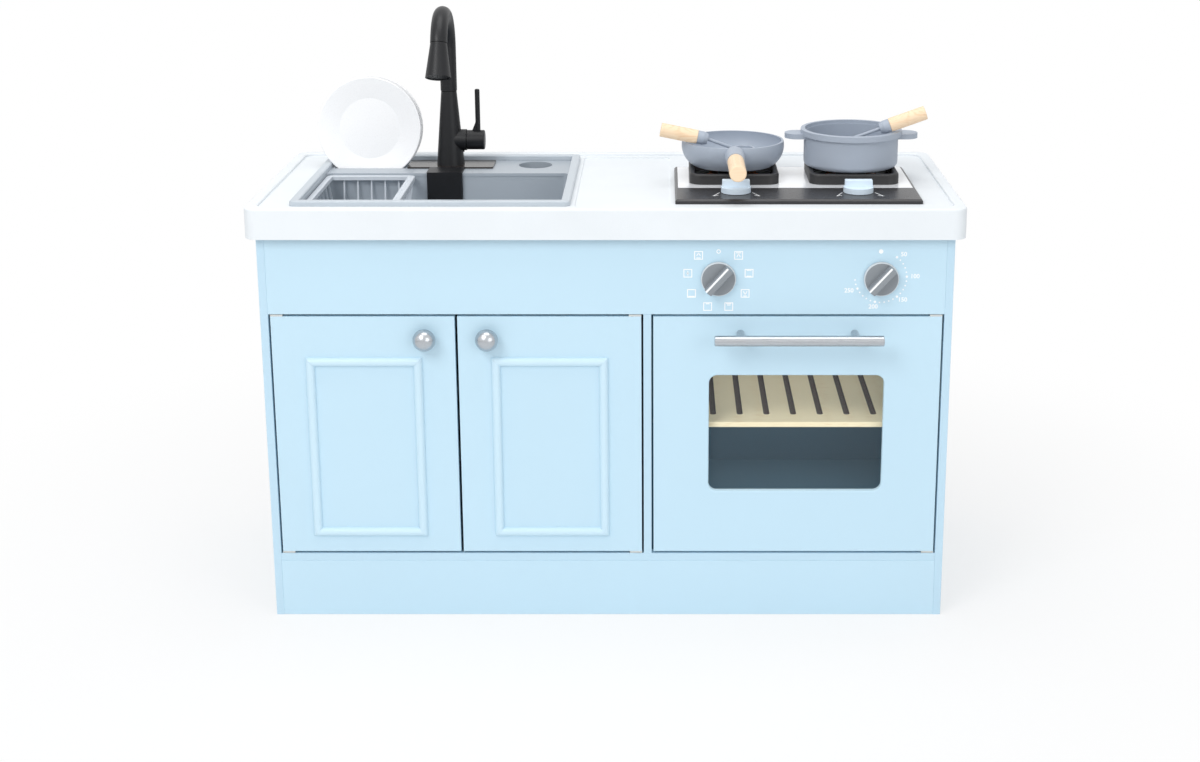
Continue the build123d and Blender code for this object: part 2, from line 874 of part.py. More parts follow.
worktop_x = (-worktop_half, worktop_half)
worktop_y = (worktop_front, worktop_back)
tray_x = (sink_x[1] + tray_margin, hob_x[0] - tray_margin)
tray_y = inset(worktop_y, rim_width + 2 * tray_margin)
with BuildPart() as worktop:
    rounded_slab(worktop_x, worktop_y, (cabinet_height, rim_top), worktop_corner)
    fillet(worktop.edges().group_by(Axis.Z)[-1], worktop_edge_round)
    rounded_slab(
        inset(worktop_x, rim_width),
        inset(worktop_y, rim_width),
        (deck_top, rim_top),
        deck_corner,
        Mode.SUBTRACT,
    )
    fillet(worktop.edges().group_by(Axis.Z)[-1], rim_inner_round)
    rounded_slab(tray_x, tray_y, (deck_top - tray_depth, deck_top), tray_corner, Mode.SUBTRACT)
    rounded_slab(
        inset(worktop_x, worktop_wall),
        inset(worktop_y, worktop_wall),
        (cabinet_height, cabinet_height + shell_depth),
        worktop_corner - worktop_wall,
        Mode.SUBTRACT,
    )
    with BuildSketch(Plane.XY.offset(cabinet_height)):
        with Locations((0, cabinet_middle_y)):
            Rectangle(2 * side_outer, cabinet_depth)
            Rectangle(2 * (side_outer - seat_rib), cabinet_depth - 2 * seat_rib, mode=Mode.SUBTRACT)
        with Locations(*block_places):
            Circle(block_post_radius)
    extrude(amount=shell_depth)
    slab(inset(sink_x, sink_lap), inset(sink_y, sink_lap), (cabinet_height, rim_top), Mode.SUBTRACT)
    slab(inset(hob_x, hob_lap), inset(hob_y, hob_lap), (cabinet_height, rim_top), Mode.SUBTRACT)
finish(worktop.part, "worktop")

with BuildPart() as worktop_blocks:
    with BuildSketch(Plane.XY.offset(cabinet_height)):
        with Locations(*block_places):
            Rectangle(corner_block, corner_block)
    extrude(amount=-corner_block)
finish(worktop_blocks.part, "worktop_blocks")

# Sink: one moulding with a rim, a basin, a rear ledge, a plate slot, a cup well and a pump niche
sink_top = deck_top + sink_rim_height
tub_x = inset(sink_x, sink_lap + sink_gap)
tub_y = inset(sink_y, sink_lap + sink_gap)
basin_x = inset(sink_x, sink_rim_width)
tub_bottom = basin_bottom - sink_wall
niche_x = (pump_x[0] - loose_fit, pump_x[1] + loose_fit)
niche_back = pump_y[1] + loose_fit
lean = radians(plate_lean)
plate_low = plate_centre_z - plate_radius * cos(lean) + (plate_depth - plate_sheet) * sin(lean)
slot_floor = plate_low - loose_fit
slot_chord = sqrt(plate_radius**2 - (plate_centre_z - ledge_z) ** 2) + plate_slot_gap
slot_x = (plate_x - slot_chord, plate_x + plate_shift + slot_chord)
plates_y = (plate_front_y, plate_front_y + plate_pitch)
tube_hole = tube_radius + loose_fit
with BuildPart() as sink_unit:
    rounded_slab(sink_x, sink_y, (deck_top, sink_top), sink_corner)
    fillet(sink_unit.edges().group_by(Axis.Z)[-1], sink_rim_round)
    slab(tub_x, tub_y, (ledge_z - ledge_sheet, deck_top))
    rounded_slab(tub_x, (tub_y[0], basin_back + sink_wall), (tub_bottom, deck_top), basin_corner)
    slab(
        (slot_x[0] - sink_wall, slot_x[1] + sink_wall),
        (plate_slot_y[0] - sink_wall, plate_slot_y[1] + sink_wall),
        (slot_floor - sink_wall, ledge_z),
    )
    slab(
        (niche_x[0] - sink_wall, niche_x[1] + sink_wall),
        (basin_back - basin_corner, niche_back + sink_wall),
        (tub_bottom, ledge_z),
    )
    round_bar((cup_x, cup_y, ledge_z), (0, 0, -1), cup_radius + sink_wall, cup_depth + sink_wall)
    slab(basin_x, (basin_front, ledge_back), (ledge_z, sink_top), Mode.SUBTRACT)
    fillet(sink_unit.edges().group_by(Axis.Z)[-1], sink_rim_round)
    with BuildSketch(Plane.XY.offset(basin_bottom)) as basin_outline:
        with Locations(((basin_x[0] + basin_x[1]) / 2, (basin_front + basin_back) / 2)):
            RectangleRounded(basin_x[1] - basin_x[0], basin_back - basin_front, basin_corner)
    extrude(amount=ledge_z - basin_bottom, mode=Mode.SUBTRACT)
    slab(slot_x, plate_slot_y, (slot_floor, ledge_z), Mode.SUBTRACT)
    for back_y in plates_y:
        rib_y = back_y - (plate_centre_z - plate_rib_top) * sin(lean) - plate_rib
        slab(slot_x, (rib_y, rib_y + plate_rib), (slot_floor, plate_rib_top))
    round_bar((cup_x, cup_y, ledge_z), (0, 0, -1), cup_radius, cup_depth, Mode.SUBTRACT)
    slab(basin_x, (basin_back - ledge_lip, basin_back), (ledge_z - ledge_sheet, ledge_z))
    slab(niche_x, (pump_y[0], niche_back), (basin_bottom, ledge_z), Mode.SUBTRACT)
    round_bar((tap_x, tap_y, ledge_z), (0, 0, -1), tube_hole, ledge_sheet, Mode.SUBTRACT)
    round_bar((tap_x, niche_back, tube_cross_z), (0, 1, 0), tube_hole, sink_wall, Mode.SUBTRACT)
    round_bar(
        (strainer_x, strainer_y, basin_bottom),
        (0, 0, -1),
        strainer_radius + loose_fit,
        strainer_recess,
        Mode.SUBTRACT,
    )
finish(sink_unit.part, "sink_unit")

with BuildPart() as strainer:
    with BuildSketch(Plane.XY.offset(basin_bottom - strainer_recess)):
        with Locations((strainer_x, strainer_y)):
            Circle(strainer_radius)
            with PolarLocations(strainer_radius / 2, strainer_holes):
                Circle(strainer_hole_radius, mode=Mode.SUBTRACT)
            Circle(strainer_hole_radius, mode=Mode.SUBTRACT)
    extrude(amount=strainer_thickness)
finish(strainer.part, "strainer")

# Two plates that lean back in the slot
for plate_name, offset_x, back_y in (("front", 0, plates_y[0]), ("back", plate_shift, plates_y[1])):
    leaning = Plane(
        origin=(plate_x + offset_x, back_y, plate_centre_z),
        x_dir=(1, 0, 0),
        z_dir=(0, -cos(lean), sin(lean)),
    )
    half_profile = Plane(origin=leaning.origin, x_dir=(1, 0, 0), z_dir=leaning.y_dir)
    rim_start = plate_depth - plate_sheet
    with BuildPart() as plate:
        with BuildSketch(half_profile):
            with BuildLine():
                Polyline(
                    (0, 0),
                    (plate_well_radius, 0),
                    (plate_radius, -rim_start),
                    (plate_radius, -plate_depth),
                    (plate_well_radius, -plate_sheet),
                    (0, -plate_sheet),
                    close=True,
                )
            make_face()
        revolve(axis=Axis(leaning.origin, leaning.z_dir))
        fillet(plate.edges().filter_by(GeomType.CIRCLE).sort_by(SortBy.RADIUS)[-2:], plate_rim_round)
    finish(plate.part, f"plate_{plate_name}")

# Drainer basket: rails on top, bent bars down the walls and a combed rail on the right
basket_left = basin_x[0] + basket_gap
basket_x = (basket_left, basket_left + basket_width)
basket_y = (basin_front + basket_gap, basin_back - ledge_lip - basket_gap)
basket_z = (basin_bottom + loose_fit, basket_top)
basket_rails_z = (basket_top - basket_rail_height, basket_top)
basket_back_pitch = (basket_width - 2 * basket_back_margin) / (basket_back_bars - 1)
basket_length = basket_y[1] - basket_y[0]
basket_side_pitch = (basket_length - 2 * basket_side_margin) / (basket_side_bars - 1)
comb_pitch = (basket_length - 2 * comb_margin) / (comb_teeth - 1)
basket_middle_x = (basket_x[0] + basket_x[1]) / 2
basket_middle_y = (basket_y[0] + basket_y[1]) / 2


def bent_bars(across, along, half_top, count, pitch):
    """Add U-shaped bars that hang from the rails, tapering in towards the basket's floor."""
    top = basket_z[1] - basket_rail_height / 2
    low = basket_z[0]
    places = Plane(origin=(basket_middle_x, basket_middle_y, 0), x_dir=across, z_dir=along)
    half_low = half_top - basket_taper
    with BuildSketch(places) as bars:
        Polygon(
            (-half_top, top),
            (-half_low, low),
            (half_low, low),
            (half_top, top),
            align=None,
        )
        Polygon(
            (-half_top + basket_bar, top),
            (-half_low + basket_bar, low + basket_bar),
            (half_low - basket_bar, low + basket_bar),
            (half_top - basket_bar, top),
            align=None,
            mode=Mode.SUBTRACT,
        )
    first = -(count - 1) / 2 * pitch - basket_bar / 2
    for index in range(count):
        shift = Vector(*along) * (first + index * pitch)
        with Locations(Location(shift)):
            add(extrude(bars.sketch, amount=basket_bar, mode=Mode.PRIVATE))


bar_half_span = (
    (basket_x[1] - basket_x[0]) / 2 - basket_bar_inset,
    (basket_y[1] - basket_y[0]) / 2 - basket_bar_inset,
)
with BuildPart() as drainer_basket:
    rounded_slab(basket_x, basket_y, basket_rails_z, basin_corner)
    slab(
        (basket_x[0] + basket_rail, basket_x[1] - basket_comb_rail),
        inset(basket_y, basket_rail),
        basket_rails_z,
        Mode.SUBTRACT,
    )
    fillet(drainer_basket.edges().group_by(Axis.Z)[-1], basket_rail_round)
    for index in range(comb_teeth):
        notch_y = basket_middle_y + (index - (comb_teeth - 1) / 2) * comb_pitch
        round_bar(
            (basket_x[1] - basket_comb_rail, notch_y, basket_top + comb_notch_rise),
            (1, 0, 0),
            comb_notch_radius,
            basket_comb_rail / 2,
            Mode.SUBTRACT,
        )
    bent_bars((1, 0, 0), (0, -1, 0), bar_half_span[0], basket_side_bars, basket_side_pitch)
    bent_bars((0, 1, 0), (1, 0, 0), bar_half_span[1], basket_back_bars, basket_back_pitch)
finish(drainer_basket.part, "drainer_basket")

# Tap: a plate on the ledge, a pump in its housing, a body with a side lever and a swivel spout
tap_top = ledge_z + tap_plate_thickness
with BuildPart() as tap_plate:
    rounded_slab(tap_plate_x, tap_plate_y, (ledge_z, tap_top), tap_plate_corner)
    round_bar((tap_x, tap_y, ledge_z), (0, 0, 1), tube_hole, tap_plate_thickness, Mode.SUBTRACT)
finish(tap_plate.part, "tap_plate")

pump_floor = basin_bottom
pump_inner_x = inset(pump_x, pump_wall)
pump_inner_y = inset(pump_y, pump_wall)
motor_y = (pump_y[0] + pump_y[1]) / 2
with BuildPart() as pump_housing:
    slab(pump_x, pump_y, (pump_floor, tap_top))
    fillet(pump_housing.edges().filter_by(Axis.Z).group_by(Axis.Y)[0], pump_corner)
    slab(pump_inner_x, pump_inner_y, (pump_floor + pump_wall, tap_top - pump_wall), Mode.SUBTRACT)
    for index in range(pump_slots):
        slot_z = pump_floor + 2 * pump_wall + index * pump_slot_pitch
        slot_middle = (pump_x[0] + pump_x[1]) / 2
        slab(
            (slot_middle - pump_slot[0] / 2, slot_middle + pump_slot[0] / 2),
            (pump_y[0], pump_inner_y[0]),
            (slot_z, slot_z + pump_slot[1]),
            Mode.SUBTRACT,
        )
    round_bar((tap_x, pump_inner_y[1], tube_cross_z), (0, 1, 0), tube_hole, pump_wall, Mode.SUBTRACT)
finish(pump_housing.part, "pump_housing")

motor_bottom = pump_floor + pump_wall
nose_top = motor_bottom + motor_length + motor_nose_length
with BuildPart() as pump_motor:
    round_bar((tap_x, motor_y, motor_bottom), (0, 0, 1), motor_radius, motor_length)
    round_bar(
        (tap_x, motor_y, motor_bottom + motor_length), (0, 0, 1), motor_nose_radius, motor_nose_length
    )
finish(pump_motor.part, "pump_motor")

with BuildPart() as supply_tube:
    with BuildLine():
        FilletPolyline(
            (tap_x, motor_y, nose_top),
            (tap_x, motor_y, tube_cross_z),
            (tap_x, tap_y, tube_cross_z),
            (tap_x, tap_y, tap_joint_z - tap_socket_depth),
            radius=tube_bend,
        )
    with BuildSketch(Plane.XY.offset(nose_top)):
        with Locations((tap_x, motor_y)):
            Circle(tube_radius)
            Circle(tube_bore, mode=Mode.SUBTRACT)
    sweep()
finish(supply_tube.part, "supply_tube")

socket_foot = tap_joint_z - tap_socket_depth
with BuildPart() as tap_body:
    with Locations((tap_x, tap_y, tap_top)):
        Cone(
            tap_base_radius,
            tap_neck_radius,
            tap_joint_z - tap_top,
            align=(Align.CENTER, Align.CENTER, Align.MIN),
        )
    socket_start = (tap_x, tap_y, lever_axis_z)
    round_bar(socket_start, (1, 0, 0), lever_socket_radius, lever_socket_x - tap_x)
    screw_start = (tap_x + set_screw_inset, tap_y, lever_axis_z - set_screw_start)
    round_bar(screw_start, (0, 0, -1), set_screw_radius, set_screw_reach - set_screw_start)
    round_bar((tap_x, tap_y, tap_top), (0, 0, 1), tap_bore_radius, tap_joint_z - tap_top, Mode.SUBTRACT)
    round_bar(
        (tap_x, tap_y, socket_foot),
        (0, 0, 1),
        spout_spigot_radius + running_fit,
        tap_socket_depth,
        Mode.SUBTRACT,
    )
    round_bar(
        (lever_socket_x, tap_y, lever_axis_z),
        (-1, 0, 0),
        lever_shaft_radius + running_fit,
        lever_shaft_length,
        Mode.SUBTRACT,
    )
finish(tap_body.part, "tap_body")

# Spout: a spigot in the body, a gooseneck and a spray head that tilts forward
spout_foot = tap_joint_z + spray_collar_gap
arc_z = spout_top - spout_radius - spout_arc_radius
arc_y = tap_y - spout_arc_radius
arc_turn = 180 - spout_tilt
arc_end_y = arc_y + spout_arc_radius * cos(radians(arc_turn))
arc_end_z = arc_z + spout_arc_radius * sin(radians(arc_turn))
spray_way = Vector(0, -sin(radians(spout_tilt)), -cos(radians(spout_tilt)))
spout_end = Vector(tap_x, arc_end_y, arc_end_z)


def gooseneck(radius, foot, mode=Mode.ADD):
    """Add, or cut, a round tube from a height on the tap's axis, over and down to the spray head."""
    with BuildLine(Plane.YZ.offset(tap_x)) as path:
        Line((tap_y, foot), (tap_y, arc_z))
        CenterArc((arc_y, arc_z), spout_arc_radius, 0, arc_turn)
    with BuildSketch(Plane(origin=(tap_x, tap_y, foot), z_dir=(0, 0, 1))) as section:
        Circle(radius)
    sweep(section.sketch, path=path.line, mode=mode)


with BuildPart() as spout_tube:
    gooseneck(spout_radius, spout_foot)
    round_bar(
        (tap_x, tap_y, socket_foot + loose_fit), (0, 0, 1), spout_spigot_radius, spout_foot - socket_foot
    )
    gooseneck(spout_bore, socket_foot, Mode.SUBTRACT)
    round_bar(spout_end, -spray_way, spout_bore, spray_spigot_length, Mode.SUBTRACT)
finish(spout_tube.part, "spout_tube")

spray_start = spout_end + spray_way * spray_collar_gap
spray_end = spray_start + spray_way * spray_length
with BuildPart() as spray_head:
    with Locations(Plane(origin=spray_start, x_dir=(1, 0, 0), z_dir=spray_way).location):
        Cone(
            spray_top_radius,
            spray_face_radius,
            spray_length,
            align=(Align.CENTER, Align.CENTER, Align.MIN),
        )
    round_bar(spray_start, -spray_way, spout_bore - running_fit, spray_spigot_length)
    round_bar(
        spray_end,
        -spray_way,
        spray_face_radius - spray_lip,
        spray_face_recess + spray_face_depth,
        Mode.SUBTRACT,
    )
finish(spray_head.part, "spray_head")

with BuildPart() as spray_face:
    face_end = spray_end - spray_way * spray_face_recess
    face_radius = spray_face_radius - spray_lip - running_fit
    round_bar(face_end, -spray_way, face_radius, spray_face_depth)
    with BuildSketch(Plane(origin=face_end, x_dir=(1, 0, 0), z_dir=spray_way)):
        with PolarLocations(spray_ring_radius, spray_holes):
            Circle(spray_hole_radius)
        Circle(spray_hole_radius)
    extrude(amount=-spray_face_depth / 2, mode=Mode.SUBTRACT)
finish(spray_face.part, "spray_face")

# Lever: a cap that turns in the body's side, with a rod standing on it
cap_start = lever_socket_x + lever_gap
with BuildPart() as lever_cap:
    round_bar((cap_start, tap_y, lever_axis_z), (1, 0, 0), lever_radius, lever_cap_length)
    fillet(lever_cap.edges().filter_by(GeomType.CIRCLE).sort_by(Axis.X)[-1], lever_end_round)
    shaft_length = lever_shaft_length - loose_fit + lever_gap
    round_bar((cap_start, tap_y, lever_axis_z), (-1, 0, 0), lever_shaft_radius, shaft_length)
    round_bar(
        (lever_rod_x, tap_y, lever_axis_z + lever_radius),
        (0, 0, -1),
        lever_rod_radius + press_fit,
        lever_rod_seat,
        Mode.SUBTRACT,
    )
finish(lever_cap.part, "lever_cap")

rod_foot = lever_axis_z + lever_radius
with BuildPart() as lever_rod:
    rod_length = lever_rod_top - rod_foot + lever_rod_seat
    round_bar((lever_rod_x, tap_y, rod_foot - lever_rod_seat), (0, 0, 1), lever_rod_radius, rod_length)
    foot_plane = Plane(origin=(lever_rod_x, tap_y, rod_foot), x_dir=(1, 0, 0), z_dir=(0, -1, 0))
    with BuildSketch(foot_plane.offset(-lever_foot_width / 2)):
        Polygon(
            (0, 0), (0, lever_foot_top - rod_foot), (-lever_foot_reach, 0), align=None
        )
    extrude(amount=lever_foot_width)
    fillet(lever_rod.edges().group_by(Axis.Z)[-1], lever_end_round)
finish(lever_rod.part, "lever_rod")

# Hob: a bevelled frame, an inlay, grates, burners, knobs and the unit under it
inlay_x = inset(hob_x, inlay_border)
inlay_y = (inlay_front, hob_y[1] - inlay_border)
with BuildPart() as hob_frame:
    rounded_slab(hob_x, hob_y, (deck_top, hob_top), hob_corner)
    chamfer(hob_frame.edges().group_by(Axis.Z)[-1], hob_bevel)
    slab(inlay_x, inlay_y, (inlay_top - inlay_thickness, hob_top), Mode.SUBTRACT)
    for knob_x in burner_x:
        round_bar(
            (knob_x, hob_knob_y, deck_top),
            (0, 0, 1),
            hob_stem_radius + running_fit,
            hob_thickness,
            Mode.SUBTRACT,
        )
finish(hob_frame.part, "hob_frame")

with BuildPart() as hob_plate:
    slab(inset(inlay_x, running_fit), inset(inlay_y, running_fit), (inlay_top - inlay_thickness, inlay_top))
finish(hob_plate.part, "hob_plate")

module_x = inset(hob_x, hob_lap + module_gap)
module_y = inset(hob_y, hob_lap + module_gap)
with BuildPart() as hob_module:
    slab(module_x, module_y, (deck_top - module_drop, deck_top))
    slab(
        inset(module_x, module_wall),
        inset(module_y, module_wall),
        (deck_top - module_drop + module_wall, deck_top),
        Mode.SUBTRACT,
    )
finish(hob_module.part, "hob_module")

with BuildPart() as grates:
    inner_size = grate_size - 2 * grate_wall
    with BuildSketch(Plane.XY.offset(inlay_top)):
        with Locations(*[(x, burner_y) for x in burner_x]):
            RectangleRounded(grate_size, grate_size, grate_corner)
            RectangleRounded(inner_size, inner_size, grate_corner - grate_wall, mode=Mode.SUBTRACT)
    extrude(amount=grate_height)
    fillet(grates.edges().group_by(Axis.Z)[-1], grate_round)
    with BuildSketch(Plane.XY.offset(inlay_top + grate_height - finger_depth)):
        finger_middle = (grate_size - grate_wall - finger_length) / 2
        with Locations(*[(x, burner_y) for x in burner_x]):
            with PolarLocations(finger_middle, finger_count):
                Rectangle(finger_length, finger_width)
    extrude(amount=finger_depth)
finish(grates.part, "grates")

with BuildPart() as burner_caps:
    with BuildSketch(Plane.XY.offset(inlay_top)):
        with Locations(*[(x, burner_y) for x in burner_x]):
            Circle(cap_radius)
    extrude(amount=cap_height)
    fillet(burner_caps.edges().group_by(Axis.Z)[-1], cap_round)
finish(burner_caps.part, "burner_caps")

with BuildPart() as flame_rings:
    with BuildSketch(Plane.XY.offset(inlay_top)):
        with Locations(*[(x, burner_y) for x in burner_x]):
            Circle(flame_ring_radius - flame_reach)
            with PolarLocations(flame_ring_radius - flame_reach, flame_count):
                RegularPolygon(flame_reach, 3)
            Circle(flame_ring_inner, mode=Mode.SUBTRACT)
    extrude(amount=flame_ring_height)
finish(flame_rings.part, "flame_rings")

for side_name, knob_x in zip(("left", "right"), burner_x):
    knob_foot = hob_top + hob_knob_gap
    with BuildPart() as hob_knob:
        round_bar((knob_x, hob_knob_y, knob_foot), (0, 0, 1), hob_knob_radius, hob_knob_base)
        grip = Plane(origin=(knob_x, hob_knob_y, knob_foot), x_dir=(1, 0, 0), z_dir=(0, -1, 0))
        with BuildSketch(grip.offset(-hob_knob_grip / 2)):
            Polygon(
                (-hob_knob_radius + hob_knob_round, hob_knob_base),
                (hob_knob_radius - hob_knob_round, hob_knob_base),
                (hob_knob_top_half, hob_knob_height),
                (-hob_knob_top_half, hob_knob_height),
                align=None,
            )
        extrude(amount=hob_knob_grip)
        fillet(hob_knob.edges().group_by(Axis.Z)[-1], hob_knob_round)
        round_bar(
            (knob_x, hob_knob_y, knob_foot), (0, 0, -1), hob_stem_radius, hob_knob_gap + hob_stem_length
        )
    finish(hob_knob.part, f"hob_knob_{side_name}")

# Pot: a straight-sided bowl with a rim band and two flat lugs
pot_x = burner_x[1]
pot_top = cookware_z + pot_height
pot_inner = pot_body_radius - cookware_wall
with BuildPart() as pot:
    round_bar((pot_x, pot_y, cookware_z), (0, 0, 1), pot_body_radius, pot_height)
    fillet(pot.edges().group_by(Axis.Z)[0], pot_foot_round)
    round_bar((pot_x, pot_y, pot_top - pot_band), (0, 0, 1), pot_rim_radius, pot_band)
    fillet(pot.edges().group_by(Axis.Z)[-1], cookware_round)
    with BuildSketch(Plane.XY.offset(pot_top - lug_drop - lug_thickness)):
        with Locations((pot_x, pot_y)):
            SlotOverall(2 * (pot_rim_radius + lug_reach), lug_width)
            Circle(pot_body_radius, mode=Mode.SUBTRACT)
    extrude(amount=lug_thickness)
    round_bar((pot_x, pot_y, cookware_z + cookware_wall), (0, 0, 1), pot_inner, pot_height, Mode.SUBTRACT)
    round_bar(
        (pot_x, pot_y, pot_top), (0, 0, -1), pot_inner + pot_lid_step[0], pot_lid_step[1], Mode.SUBTRACT
    )
finish(pot.part, "pot")

# Pan: a round-sided dish with a ferrule that holds a wooden handle
pan_x = burner_x[0]
pan_top = cookware_z + pan_height
with BuildPart() as pan:
    with BuildSketch(Plane(origin=(pan_x, pan_y, cookware_z), x_dir=(1, 0, 0), z_dir=(0, -1, 0))):
        with BuildLine():
            Line((0, 0), (pan_base_radius, 0))
            ThreePointArc((pan_base_radius, 0), pan_side_bulge, (pan_rim_radius, pan_height))
            Line((pan_rim_radius, pan_height), (0, pan_height))
            Line((0, pan_height), (0, 0))
        make_face()
    revolve(axis=Axis((pan_x, pan_y, 0), (0, 0, 1)))
    ferrule = Plane(origin=(pan_x, pan_ferrule_end, pan_handle_z), z_dir=(0, 1, 0))
    ferrule_length = pan_y - pan_side_bulge[0] - pan_ferrule_end + cookware_wall
    with Locations(ferrule.location):
        Cone(
            pan_ferrule_tip,
            pan_ferrule_radius,
            ferrule_length,
            align=(Align.CENTER, Align.CENTER, Align.MIN),
        )
    with BuildSketch(Plane(origin=(pan_x, pan_y, cookware_z), x_dir=(1, 0, 0), z_dir=(0, -1, 0))):
        with BuildLine():
            Line((0, cookware_wall), (pan_base_radius - cookware_wall / 2, cookware_wall))
            ThreePointArc(
                (pan_base_radius - cookware_wall / 2, cookware_wall),
                (pan_side_bulge[0] - cookware_wall, pan_side_bulge[1] + cookware_wall / 2),
                (pan_rim_radius - cookware_wall, pan_height),
            )
            Polyline(
                (pan_rim_radius - cookware_wall, pan_height),
                (pan_rim_radius - cookware_wall, pan_height + pan_ferrule_radius),
                (0, pan_height + pan_ferrule_radius),
                (0, cookware_wall),
            )
        make_face()
    revolve(axis=Axis((pan_x, pan_y, 0), (0, 0, 1)), mode=Mode.SUBTRACT)
    round_bar(
        (pan_x, pan_ferrule_end, pan_handle_z),
        (0, 1, 0),
        handle_spigot_radius + press_fit,
        handle_spigot_length,
        Mode.SUBTRACT,
    )
finish(pan.part, "pan")

with BuildPart() as pan_handle:
    grip_length = pan_ferrule_end - pan_handle_end
    round_bar((pan_x, pan_handle_end, pan_handle_z), (0, 1, 0), handle_radius, grip_length)
    fillet(pan_handle.edges().group_by(Axis.Y)[0], handle_end_round)
    round_bar((pan_x, pan_ferrule_end, pan_handle_z), (0, 1, 0), handle_spigot_radius, handle_spigot_length)
finish(pan_handle.part, "pan_handle")


# Utensils: a wooden handle, a ferrule and stem, and a round bowl that hangs inside the pan or pot
def utensil(label, end, side, fall, stem_length, bowl_radius):
    """Make a utensil that lies over a rim, its handle to one side and its bowl inside."""
    way = Vector(side * cos(radians(fall)), 0, -sin(radians(fall)))
    stem_way = Vector(side * cos(radians(stem_fall)), 0, -sin(radians(stem_fall)))
    ferrule_start = end + way * utensil_handle
    cone_start = ferrule_start + way * (utensil_ferrule - utensil_ferrule_cone)
    stem_start = ferrule_start + way * utensil_ferrule
    stem_end = stem_start + stem_way * stem_length
    bowl_centre = stem_end + Vector(side * (bowl_radius - bowl_wall / 2), 0, 0)
    with BuildPart() as handle:
        round_bar(end, way, utensil_radius, utensil_handle)
        fillet(handle.edges().filter_by(GeomType.CIRCLE), handle_end_round / 2)
        round_bar(ferrule_start, way, utensil_spigot_radius, utensil_spigot_length)
    finish(handle.part, f"{label}_handle")
    with BuildPart() as head:
        straight = utensil_ferrule - utensil_ferrule_cone
        round_bar(ferrule_start, way, utensil_radius - loose_fit, straight)
        with Locations(Plane(origin=cone_start, z_dir=way).location):
            Cone(
                utensil_radius - loose_fit,
                utensil_ferrule_tip,
                utensil_ferrule_cone,
                align=(Align.CENTER, Align.CENTER, Align.MIN),
            )
        stem_root = stem_start - stem_way * utensil_stem_radius
        round_bar(stem_root, stem_way, utensil_stem_radius, stem_length + utensil_stem_radius)
        round_bar(
            ferrule_start, way, utensil_spigot_radius + press_fit, utensil_spigot_length, Mode.SUBTRACT
        )
        with Locations(bowl_centre):
            Sphere(bowl_radius, arc_size2=0, align=(Align.CENTER, Align.CENTER, Align.MAX))
            Sphere(bowl_radius - bowl_wall, mode=Mode.SUBTRACT)
    finish(head.part, label)


utensil("spoon", spoon_end, 1, spoon_fall, spoon_stem, spoon_bowl_radius)
utensil("ladle", ladle_end, -1, ladle_fall, ladle_stem, ladle_bowl_radius)
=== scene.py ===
import logging
import math
from dataclasses import dataclass, field
from enum import Enum

import bmesh
import bpy
from mathutils import Matrix, Vector


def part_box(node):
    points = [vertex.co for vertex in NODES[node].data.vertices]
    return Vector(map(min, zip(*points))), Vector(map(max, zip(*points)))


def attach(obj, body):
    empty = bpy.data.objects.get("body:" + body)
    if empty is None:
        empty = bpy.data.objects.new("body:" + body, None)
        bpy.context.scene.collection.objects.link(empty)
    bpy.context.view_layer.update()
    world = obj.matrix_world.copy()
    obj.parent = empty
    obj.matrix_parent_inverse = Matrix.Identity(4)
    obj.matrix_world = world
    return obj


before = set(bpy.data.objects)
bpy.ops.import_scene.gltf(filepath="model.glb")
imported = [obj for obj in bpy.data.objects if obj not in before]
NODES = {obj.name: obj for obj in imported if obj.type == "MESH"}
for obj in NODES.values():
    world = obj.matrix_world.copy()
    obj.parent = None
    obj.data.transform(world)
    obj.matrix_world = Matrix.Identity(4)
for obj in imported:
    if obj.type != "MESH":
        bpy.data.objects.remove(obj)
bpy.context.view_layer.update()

log = logging.getLogger("play_kitchen")

Colour = tuple[float, float, float]
Triple = tuple[float, float, float]
FRONT = Vector((0.0, -1.0, 0.0))
UP = Vector((0.0, 0.0, 1.0))


def srgb(red: int, green: int, blue: int) -> Colour:
    """Turn an 8-bit colour into the linear values that shaders take.

    Args:
        red: Red, 0 to 255.
        green: Green, 0 to 255.
        blue: Blue, 0 to 255.

    Returns:
        The linear red, green and blue.
    """
    return tuple(
        c / 12.92 if c <= 0.04045 else ((c + 0.055) / 1.055) ** 2.4
        for c in (red / 255, green / 255, blue / 255)
    )


def scaled(colour: Colour, factor: float) -> Colour:
    """Give a colour made lighter or darker by a factor."""
    return tuple(min(1.0, c * factor) for c in colour)


class Axis(Enum):
    """A direction of grain or brushing on a piece."""

    X = (1.0, 0.0, 0.0)
    Y = (0.0, 1.0, 0.0)


